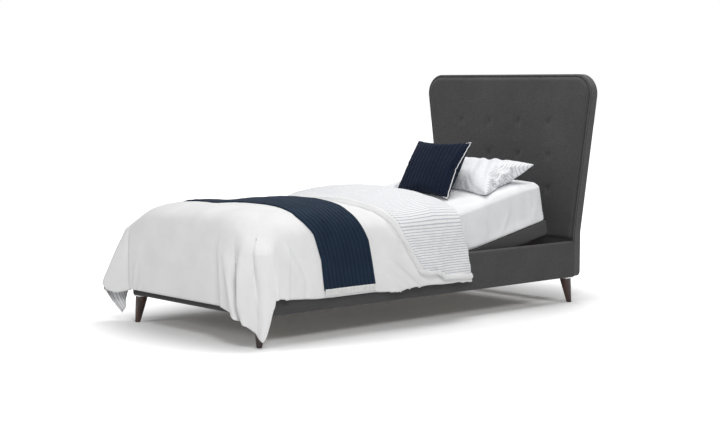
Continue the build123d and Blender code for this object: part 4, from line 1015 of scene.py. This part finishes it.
def fold_piece(name, rows, skip):
    outer, inner = fold_outer[rows], fold_inner[rows]
    cloth_points = cloth_across(fold_base[rows])
    at_hem = hem_gap[rows] * fold_side[rows] + 100 * (1 - fold_side[rows]) < 20
    cloth_points[..., 2] = np.where(at_hem, 0.0, fold_edge[rows]) / 1000
    if faces_in(outer):
        outer, inner, cloth_points = outer[:, ::-1], inner[:, ::-1], cloth_points[:, ::-1]
    obj = shell(name, outer, inner, STRIPES, cloth_points, skip=skip)
    obj.data.materials.append(DUVET)
    mark = obj.data.attributes["cloth"].data
    for face in obj.data.polygons:
        back = sum(mark[v].vector[2] for v in face.vertices) / len(face.vertices)
        face.material_index = 1 if back < 0.0245 else 0
    return obj


layer_a = fold_piece("duvet_fold_front", slice(0, cut_row + 1), ("u1",))
layer_b = fold_piece("duvet_fold_back", slice(cut_row, None), ("u0",))
crease_ends(layer_a, [CUT_SEAT])
crease_ends(layer_b, [CUT_SEAT])

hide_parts("duvet_calf")
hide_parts("duvet_thigh")
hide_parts("duvet_seat", "duvet_fold")
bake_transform(duvet_a)
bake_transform(duvet_b)
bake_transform(duvet_c)
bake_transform(layer_a)
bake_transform(layer_b)


# ---------------------------------------------------------------- throw and its fringe


def throw_edge(x, z):
    """Y of the throw's foot and head edges at a place on the section."""
    foot = interp(z, [(200, 386), (244, 379), (391, 356), (514, 313), (560, 284), (603, 262), (626, 264),
                      (640, 270)])
    head = interp(z, [(200, 714), (226, 711), (355, 685), (465, 659), (552, 613), (604, 590), (626, 592),
                      (640, 595)])
    top = step(500, 430, np.abs(x))
    return foot * (1 - top) + 270.0 * top, head * (1 - top) + 595.0 * top


THROW_ROWS, RIBS, THROW_HEM, FRINGE_LENGTH = 157, 13, 240.0, 34


def throw_grid():
    base = section_line(430)
    cols = base.shape[0]
    grid = np.zeros((THROW_ROWS, cols, 3))
    for c in range(cols):
        x = base[c, 0]
        k = min(c, cols - 1 - c)
        z = up_wall(THROW_HEM, k) if k < WALL else base[c, 2]
        foot, head = throw_edge(np.array(x), z)
        y = float(foot) + (float(head) - float(foot)) * np.linspace(0, 1, THROW_ROWS)
        grid[:, c, 0] = x
        grid[:, c, 1] = y
        grid[:, c, 2] = z if k < WALL else top_height(x, y)
    return grid


throw_base = outward(throw_grid())
throw_n = normals(throw_base)
throw_under = wrinkle(throw_base[..., 0], throw_base[..., 1], throw_base[..., 2], on_side(throw_base))
rib_turn = np.linspace(0, 1, THROW_ROWS)[:, None] * RIBS
across = arc_across(throw_base) * 1000
pinch = 0.75 + 0.25 * noise(across / 14, np.floor(rib_turn) * 3.7, 11)
rib_height = 4.6 * np.abs(np.sin(math.pi * rib_turn)) ** 0.6 * pinch
throw_points = throw_base + throw_n * (throw_under + 6.0 + rib_height)[..., None]
throw_inner = throw_base + throw_n * (throw_under + 1.4)[..., None]
throw_turn = np.broadcast_to(rib_turn / 40, across.shape)
cloth = np.stack([throw_turn, across / 1000, np.zeros_like(across)], axis=-1)
throw = shell("throw_cloth", throw_points, throw_inner, THROW, cloth)
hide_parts("throw")
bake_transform(throw)


def fringe_piece():
    """Short twisted strands in bunches along both hems."""
    strands, rings, sides = 110, 5, 6
    points, faces = [], []
    for column in (0, -1):
        hem = (throw_points[:, column] + throw_inner[:, column]) / 2
        sign = 1.0 if hem[0, 0] > 0 else -1.0
        for i in range(strands):
            t = 0.004 + 0.992 * i / (strands - 1)
            at = np.array([np.interp(t, np.linspace(0, 1, len(hem)), hem[:, k]) for k in range(3)])
            seed = i * 1.37 + sign
            drop = FRINGE_LENGTH + 2.2 * math.sin(seed * 3.1)
            bunch = 1.2 * ((i % 5) - 2.0) * -0.55
            first = len(points)
            for f in (r / (rings - 1) for r in range(rings)):
                sway = sign * (4.6 + 0.9 * math.sin(seed + 2 * f))
                centre = at + np.array([sway, bunch * f, 7.0 - drop * f])
                radius = 1.75 - 0.5 * math.sin(math.pi * f) + 0.25 * f
                for a in range(sides):
                    angle = 2 * math.pi * a / sides + f
                    points.append(centre + np.array([radius * math.cos(angle), radius * math.sin(angle), 0]))
            faces += tube_faces(first, rings, sides)
            faces.append([first + a for a in range(sides)][::-1])
            faces.append([first + (rings - 1) * sides + a for a in range(sides)])
    return make_piece("throw_fringe_yarn", np.array(points), faces, FRINGE)


fringe = fringe_piece()
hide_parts("throw_fringe")
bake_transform(fringe)


# ---------------------------------------------------------------- pillow and cushion


BLOWN_FRAMES = 20


def stuffed(width, height, thick, cols, rows, draw):
    """A stuffed form lying on XY: its front and back grids, meeting at the seam."""
    u, v = np.meshgrid(np.linspace(-1, 1, cols), np.linspace(-1, 1, rows), indexing="ij")
    x = u * width / 2 * (1 - draw * (1 - v**2) * np.abs(u))
    y = v * height / 2 * (1 - draw * (1 - u**2) * np.abs(v))
    form = thick / 2 * (1 - np.abs(u) ** 4.0) ** 0.5 * (1 - np.abs(v) ** 4.0) ** 0.5
    return np.stack([x, y, form], axis=-1), np.stack([x, y, -form], axis=-1)


def inflate(points, faces, pressure, cap):
    """The points after a closed cloth of these faces is blown up, in millimetres."""
    mesh = bpy.data.meshes.new("blown")
    mesh.from_pydata((points / 1000).tolist(), [], faces)
    obj = add_object("blown", mesh)
    cloth = obj.modifiers.new("cloth", "CLOTH")
    settings = cloth.settings
    settings.quality = 6
    settings.mass = settings.bending_stiffness = 0.35
    settings.tension_stiffness = settings.compression_stiffness = 22
    settings.shear_stiffness = 8
    settings.use_pressure = True
    settings.uniform_pressure_force = pressure
    settings.effector_weights.gravity = 0
    cloth.collision_settings.use_collision = False
    for frame_number in range(1, BLOWN_FRAMES + 1):
        bpy.context.scene.frame_set(frame_number)
    seen = obj.evaluated_get(bpy.context.evaluated_depsgraph_get())
    blown = np.empty(len(mesh.vertices) * 3)
    seen.data.vertices.foreach_get("co", blown)
    blown = blown.reshape(-1, 3) * 1000
    bpy.data.objects.remove(obj)
    bpy.data.meshes.remove(mesh)
    bpy.context.scene.frame_set(1)
    move = blown - points
    far = np.linalg.norm(move, axis=1, keepdims=True)
    return points + move * np.minimum(1, cap / np.maximum(far, 1e-6))


def seamed(front, back):
    """Points and faces of two grids joined along their common rim."""
    rows, cols = front.shape[:2]
    index = np.arange(rows * cols).reshape(rows, cols)
    inner = np.zeros((rows, cols), dtype=bool)
    inner[1:-1, 1:-1] = True
    other = index.copy()
    other[inner] = rows * cols + np.arange(int(inner.sum()))
    points = np.vstack([front.reshape(-1, 3), back[inner]])
    faces = [list(map(int, f)) for f in quads(index)] + [list(map(int, f[::-1])) for f in quads(other)]
    return points, faces, index, other


def vertex_normals(points, faces):
    quad = points[np.array(faces)]
    flat = np.cross(quad[:, 2] - quad[:, 0], quad[:, 3] - quad[:, 1])
    total = np.zeros_like(points)
    for k in range(4):
        np.add.at(total, np.array(faces)[:, k], flat)
    return total / np.maximum(np.linalg.norm(total, axis=1, keepdims=True), 1e-9)


def fitted(points, width, height, thick):
    """The points scaled so that they fill a box about their middle."""
    low, high = points.min(axis=0), points.max(axis=0)
    return (points - (low + high) / 2) * np.array([width, height, thick]) / (high - low)


def head_plane(points):
    """Turns points drawn over the flat bed with the raised head section."""
    turned = points.copy()
    y, z = points[:, 1] - BEND_Y, points[:, 2] - LOW
    turned[:, 1] = BEND_Y + y * math.cos(HEAD_TILT) - z * math.sin(HEAD_TILT)
    turned[:, 2] = LOW + y * math.sin(HEAD_TILT) + z * math.cos(HEAD_TILT)
    return turned


PILLOW_AT = (88.0, HEAD_HINGE_Y + 462.0)
PILLOW_FORM, PILLOW_SIZE = (780, 436, 64), (742, 408, 152)
front, back = stuffed(*PILLOW_FORM, 92, 54, 0.02)
pillow_points, pillow_faces = seamed(front, back)[:2]
pillow_points = inflate(pillow_points, pillow_faces, 5.0, 95.0)
pillow_points = fitted(pillow_points, *PILLOW_SIZE)
flat_points = pillow_points.copy()
pillow_x, pillow_y = (pillow_points[:, i] / (PILLOW_SIZE[i] / 2) for i in (0, 1))
out_way = vertex_normals(pillow_points, pillow_faces)
upper = step(-20, 25, pillow_points[:, 2])
for along, width_at, depth in ((0.50, 0.06, -10), (0.73, 0.05, -7), (0.30, 0.05, -4)):
    line = pillow_x - (along - 0.34 * (pillow_y - 0.1))
    beside = (line - 2.1 * width_at) / width_at
    valley = depth * np.exp(-((line / width_at) ** 2)) + 0.5 * abs(depth) * np.exp(-(beside**2))
    reach = np.exp(-(((pillow_y - 0.05) / 0.62) ** 4))
    pillow_points = pillow_points + out_way * (valley * reach * upper * step(-1.3, -0.2, pillow_y))[:, None]
fine = 1.6 * rough(flat_points[:, 0] / 70, flat_points[:, 1] / 60, 71)
fine = fine + 1.4 * folds(pillow_x * 9 + pillow_y * 3, pillow_y * 2, 75, 3.0)
pillow_points = pillow_points + out_way * fine[:, None]
tilt = 62 * (0.5 - 0.5 * pillow_y)
pillow_points[:, 2] += 72 - tilt
sag = 1.5 + 17 * (np.abs(pillow_points[:, 0] + PILLOW_AT[0]) / HALF) ** 2.5
sag = np.minimum(sag, 14)
pillow_points[:, 2] = np.maximum(pillow_points[:, 2], 3.5 - sag + 1.5)
placed = pillow_points + np.array([PILLOW_AT[0], PILLOW_AT[1], HIGH + 0.6])
pillow_cloth = flat_points / 1000
pillow = make_piece("pillow_case", head_plane(placed), pillow_faces, PILLOW_STRIPES, pillow_cloth)
weld(pillow)
soft = pillow.modifiers.new("soft", "SUBSURF")
soft.levels = soft.render_levels = 1
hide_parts("pillow")
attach(pillow, "head_section")

LEAN = math.radians(58.4)
CUSHION_AT = np.array([80.0, 1574.0, 760.0])
CHANNELS = 15


def cushion_place(points):
    out = points.copy()
    out[:, 1] = points[:, 1] * math.cos(LEAN) - points[:, 2] * math.sin(LEAN)
    out[:, 2] = points[:, 1] * math.sin(LEAN) + points[:, 2] * math.cos(LEAN)
    return out + CUSHION_AT


cols, rows = CHANNELS * 12 + 1, 74
CUSHION_FORM, CUSHION_SIZE = (440, 372, 46), (410, 346, 104)
front, back = stuffed(*CUSHION_FORM, cols, rows, 0.03)
cushion_points, cushion_faces, face_index, back_index = seamed(front, back)
cushion_points = inflate(cushion_points, cushion_faces, 5.5, 60.0)
cushion_points = fitted(cushion_points, *CUSHION_SIZE)
out_way = vertex_normals(cushion_points, cushion_faces)
turn = np.zeros(len(cushion_points))
for index in (face_index, back_index):
    turn[index.ravel()] = np.repeat(np.linspace(0, CHANNELS, cols), rows)
groove = np.exp(-(((turn - np.round(turn)) / 0.13) ** 2))
inner_part = np.minimum(np.abs(cushion_points[:, 2]) / 14, 1)
pucker = 1.0 * noise(cushion_points[:, 1] / 13, np.floor(turn) * 5.1, 23)
quilting = (-5.2 * groove + 1.2 * (1 - groove) * pucker) * inner_part
cushion_points = cushion_points + out_way * quilting[:, None]
seam_line = cushion_points[rim_of(face_index)]
cushion_cloth = np.stack([turn * 0.0285, cushion_points[:, 1] / 1000, cushion_points[:, 2] * 0], axis=-1)
cushion = make_piece("cushion_cover", cushion_place(cushion_points), cushion_faces, CUSHION, cushion_cloth)
weld(cushion)
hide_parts("cushion")
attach(cushion, "head_section")


def piping_piece(line):
    """Piping along the cushion's two upright seams, in one piece with two tubes."""
    radius, sides = 2.7, 8
    points, faces = [], []
    reach = 0.8 * np.abs(line[:, 0]).max()
    for sign in (1, -1):
        run = sorted((i for i in range(len(line)) if sign * line[i, 0] > reach), key=lambda i: line[i, 1])
        path = line[run].copy()
        wave = np.array([0.6 * math.sin(i * 0.9) for i in range(len(path))])
        path[:, 0] += np.sign(path[0, 0]) * (1.8 + wave)
        path[:, 2] += 1.2
        first, last = len(points), len(path) - 1
        for i in range(len(path)):
            ahead = path[min(i + 1, last)] - path[max(i - 1, 0)]
            ahead = ahead / np.linalg.norm(ahead)
            side_way = np.cross(ahead, [0, 0, 1.0])
            side_way /= np.linalg.norm(side_way)
            up_way = np.cross(side_way, ahead)
            thin = radius * (0.35 if i in (0, last) else 1.0)
            for s in range(sides):
                a = 2 * math.pi * s / sides
                points.append(path[i] + thin * (side_way * math.cos(a) + up_way * math.sin(a)))
        faces += tube_faces(first, len(path), sides)
        faces.append([first + s for s in range(sides)])
        faces.append([first + last * sides + s for s in range(sides)][::-1])
    return weld(make_piece("cushion_cord", cushion_place(np.array(points)), faces, PIPING))


piping = piping_piece(seam_line)
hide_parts("cushion_piping")
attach(piping, "head_section")


# ---------------------------------------------------------------- headboard pad

PAD_INSET = 14.0
PAD_FRONT, PAD_BACK, PAD_SWELL, PAD_CROWN = 2250.0, 2262.0, 18.0, 6.0
BOARD_LOW, BOARD_HIGH, BOARD_WAIST_Z = 143.0, 1283.0, 395.0
BOARD_HALF_LOW, BOARD_HALF_TOP, BOARD_ROUND = 533.0, 659.0, 96.0
PAD_LOW, PAD_HIGH = BOARD_LOW + PAD_INSET, BOARD_HIGH - PAD_INSET


def headboard_edge():
    """The pad's outline, from its lower left corner round over the top."""
    low, top = BOARD_HALF_LOW - PAD_INSET, BOARD_HALF_TOP - PAD_INSET
    corners = [
        ((-low, PAD_LOW), 16.0), ((-low, BOARD_WAIST_Z), 1.0), ((-top, PAD_HIGH), BOARD_ROUND),
        ((top, PAD_HIGH), BOARD_ROUND), ((low, BOARD_WAIST_Z), 1.0), ((low, PAD_LOW), 16.0),
    ]
    pts = []
    total = len(corners)
    for i, (corner, radius) in enumerate(corners):
        a = np.array(corners[i - 1][0], dtype=float)
        b = np.array(corner, dtype=float)
        c = np.array(corners[(i + 1) % total][0], dtype=float)
        d1, d2 = (a - b) / np.linalg.norm(a - b), (c - b) / np.linalg.norm(c - b)
        half = math.acos(np.clip(d1 @ d2, -1, 1)) / 2
        reach = radius / math.tan(half)
        centre = b + (d1 + d2) / np.linalg.norm(d1 + d2) * radius / math.sin(half)
        start, stop = b + d1 * reach, b + d2 * reach
        a0 = math.atan2(*(start - centre)[::-1])
        a1 = math.atan2(*(stop - centre)[::-1])
        turn = (a1 - a0 + math.pi) % (2 * math.pi) - math.pi
        for t in np.linspace(0, 1, 12):
            a = a0 + turn * t
            pts.append(centre + radius * np.array([math.cos(a), math.sin(a)]))
    return np.array(pts)


PAD_EDGE = headboard_edge()


def edge_distance(x, z):
    """Distance in from the pad's outline."""
    starts, ends = PAD_EDGE, np.roll(PAD_EDGE, -1, axis=0)
    p = np.stack([x.ravel(), z.ravel()], axis=-1)
    best = np.full(len(p), 1e9)
    for a, b in zip(starts, ends):
        d = b - a
        length = d @ d
        if length < 1e-9:
            continue
        t = np.clip(((p - a) @ d) / length, 0, 1)
        best = np.minimum(best, np.linalg.norm(p - (a + t[:, None] * d), axis=1))
    return best.reshape(x.shape)


def half_width(z):
    """Half width of the pad at a height."""
    right = PAD_EDGE[PAD_EDGE[:, 0] > 0]
    order = np.argsort(right[:, 1])
    return np.interp(z, right[order, 1], right[order, 0])


BUTTON_APART, BUTTON_ROW, BUTTON_TOP_Z, BUTTON_SINK = 229.0, 190.0, 1012.0, 13.5
BUTTONS = [((c - 1.5) * BUTTON_APART, BUTTON_TOP_Z - r * BUTTON_ROW) for r in range(3) for c in range(4)]


def headboard_pad():
    z = np.concatenate([
        PAD_LOW + BOARD_ROUND * (1 - np.cos(np.linspace(0, math.pi / 2, 10))),
        np.linspace(259, PAD_HIGH - BOARD_ROUND, 170),
        PAD_HIGH - BOARD_ROUND * (1 - np.sin(np.linspace(0, math.pi / 2, 16)))[1:],
    ])
    z = np.unique(np.round(np.clip(z, PAD_LOW, PAD_HIGH), 3))
    u = np.concatenate([-1 + 0.03 * np.linspace(0, 1, 7) ** 1.4, np.linspace(-0.965, 0.965, 190),
                        1 - 0.03 * np.linspace(1, 0, 7) ** 1.4])
    zz = z[:, None] * np.ones(len(u))[None, :]
    xx = half_width(z)[:, None] * u[None, :]
    d = edge_distance(xx, zz)
    crest_y = PAD_FRONT - PAD_SWELL * step(352, 372, zz)
    crest_y = crest_y - PAD_CROWN * step(0, 260, d) * step(380, 560, zz)
    round_off = 1 - np.sqrt(np.maximum(1 - (1 - np.clip(d / 24.0, 0, 1)) ** 2, 0))
    upper = step(330, 360, zz)
    y = crest_y + 22.0 * round_off * upper + 8.0 * round_off * (1 - upper)
    for bx, bz in BUTTONS:
        dx, dz = xx - bx, zz - bz
        r = np.hypot(dx, dz)
        angle = np.arctan2(dz, dx)
        y = y + 11.0 * np.exp(-((r / 18) ** 1.6))
        star = np.abs(np.cos(2 * angle + math.pi / 2)) ** 14
        y = y + 2.0 * star * np.exp(-((r / 48) ** 2)) * step(6, 20, r)
    y = y + 0.8 * rough(xx / 160, zz / 160, 91)
    grid = np.stack([xx, y, zz], axis=-1)
    rows, cols = grid.shape[:2]
    back = grid.copy()
    back[..., 1] = PAD_BACK
    count = rows * cols
    index = np.arange(count).reshape(rows, cols)
    faces = [list(f) for f in quads(index)] + [list(f[::-1]) for f in quads(index + count)]
    rim = rim_of(index)
    faces += [[a, b, b + count, a + count] for a, b in zip(rim, np.roll(rim, -1))]
    points = np.vstack([grid.reshape(-1, 3), back.reshape(-1, 3)])
    return weld(make_piece("headboard_upholstery", points, faces, CHARCOAL))


pad = headboard_pad()
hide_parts("headboard_pad")
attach(pad, "bed")


def buttons_piece():
    """Covered buttons, domed and slightly dished round their edge."""
    sides, seat = 20, PAD_FRONT - PAD_SWELL - PAD_CROWN + BUTTON_SINK
    tip = 5.2
    rings = [(3.5, 4.9), (7.0, 4.0), (10.0, 2.3), (11.6, 0.4), (11.2, -2.0), (8.0, -4.0)]
    points, faces = [], []
    for bx, bz in BUTTONS:
        first = len(points) + 1
        points.append((bx, seat - tip, bz))
        for radius, height in rings:
            for s in range(sides):
                a = 2 * math.pi * s / sides
                points.append((bx + radius * math.cos(a), seat - height, bz + radius * math.sin(a)))
        faces += [[first - 1, first + s, first + (s + 1) % sides] for s in range(sides)]
        faces += tube_faces(first, len(rings), sides)
        faces.append([first + (len(rings) - 1) * sides + s for s in range(sides)])
    return weld(make_piece("headboard_tufts", np.array(points), faces, CHARCOAL))


tufts = buttons_piece()
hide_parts("headboard_buttons")
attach(tufts, "bed")
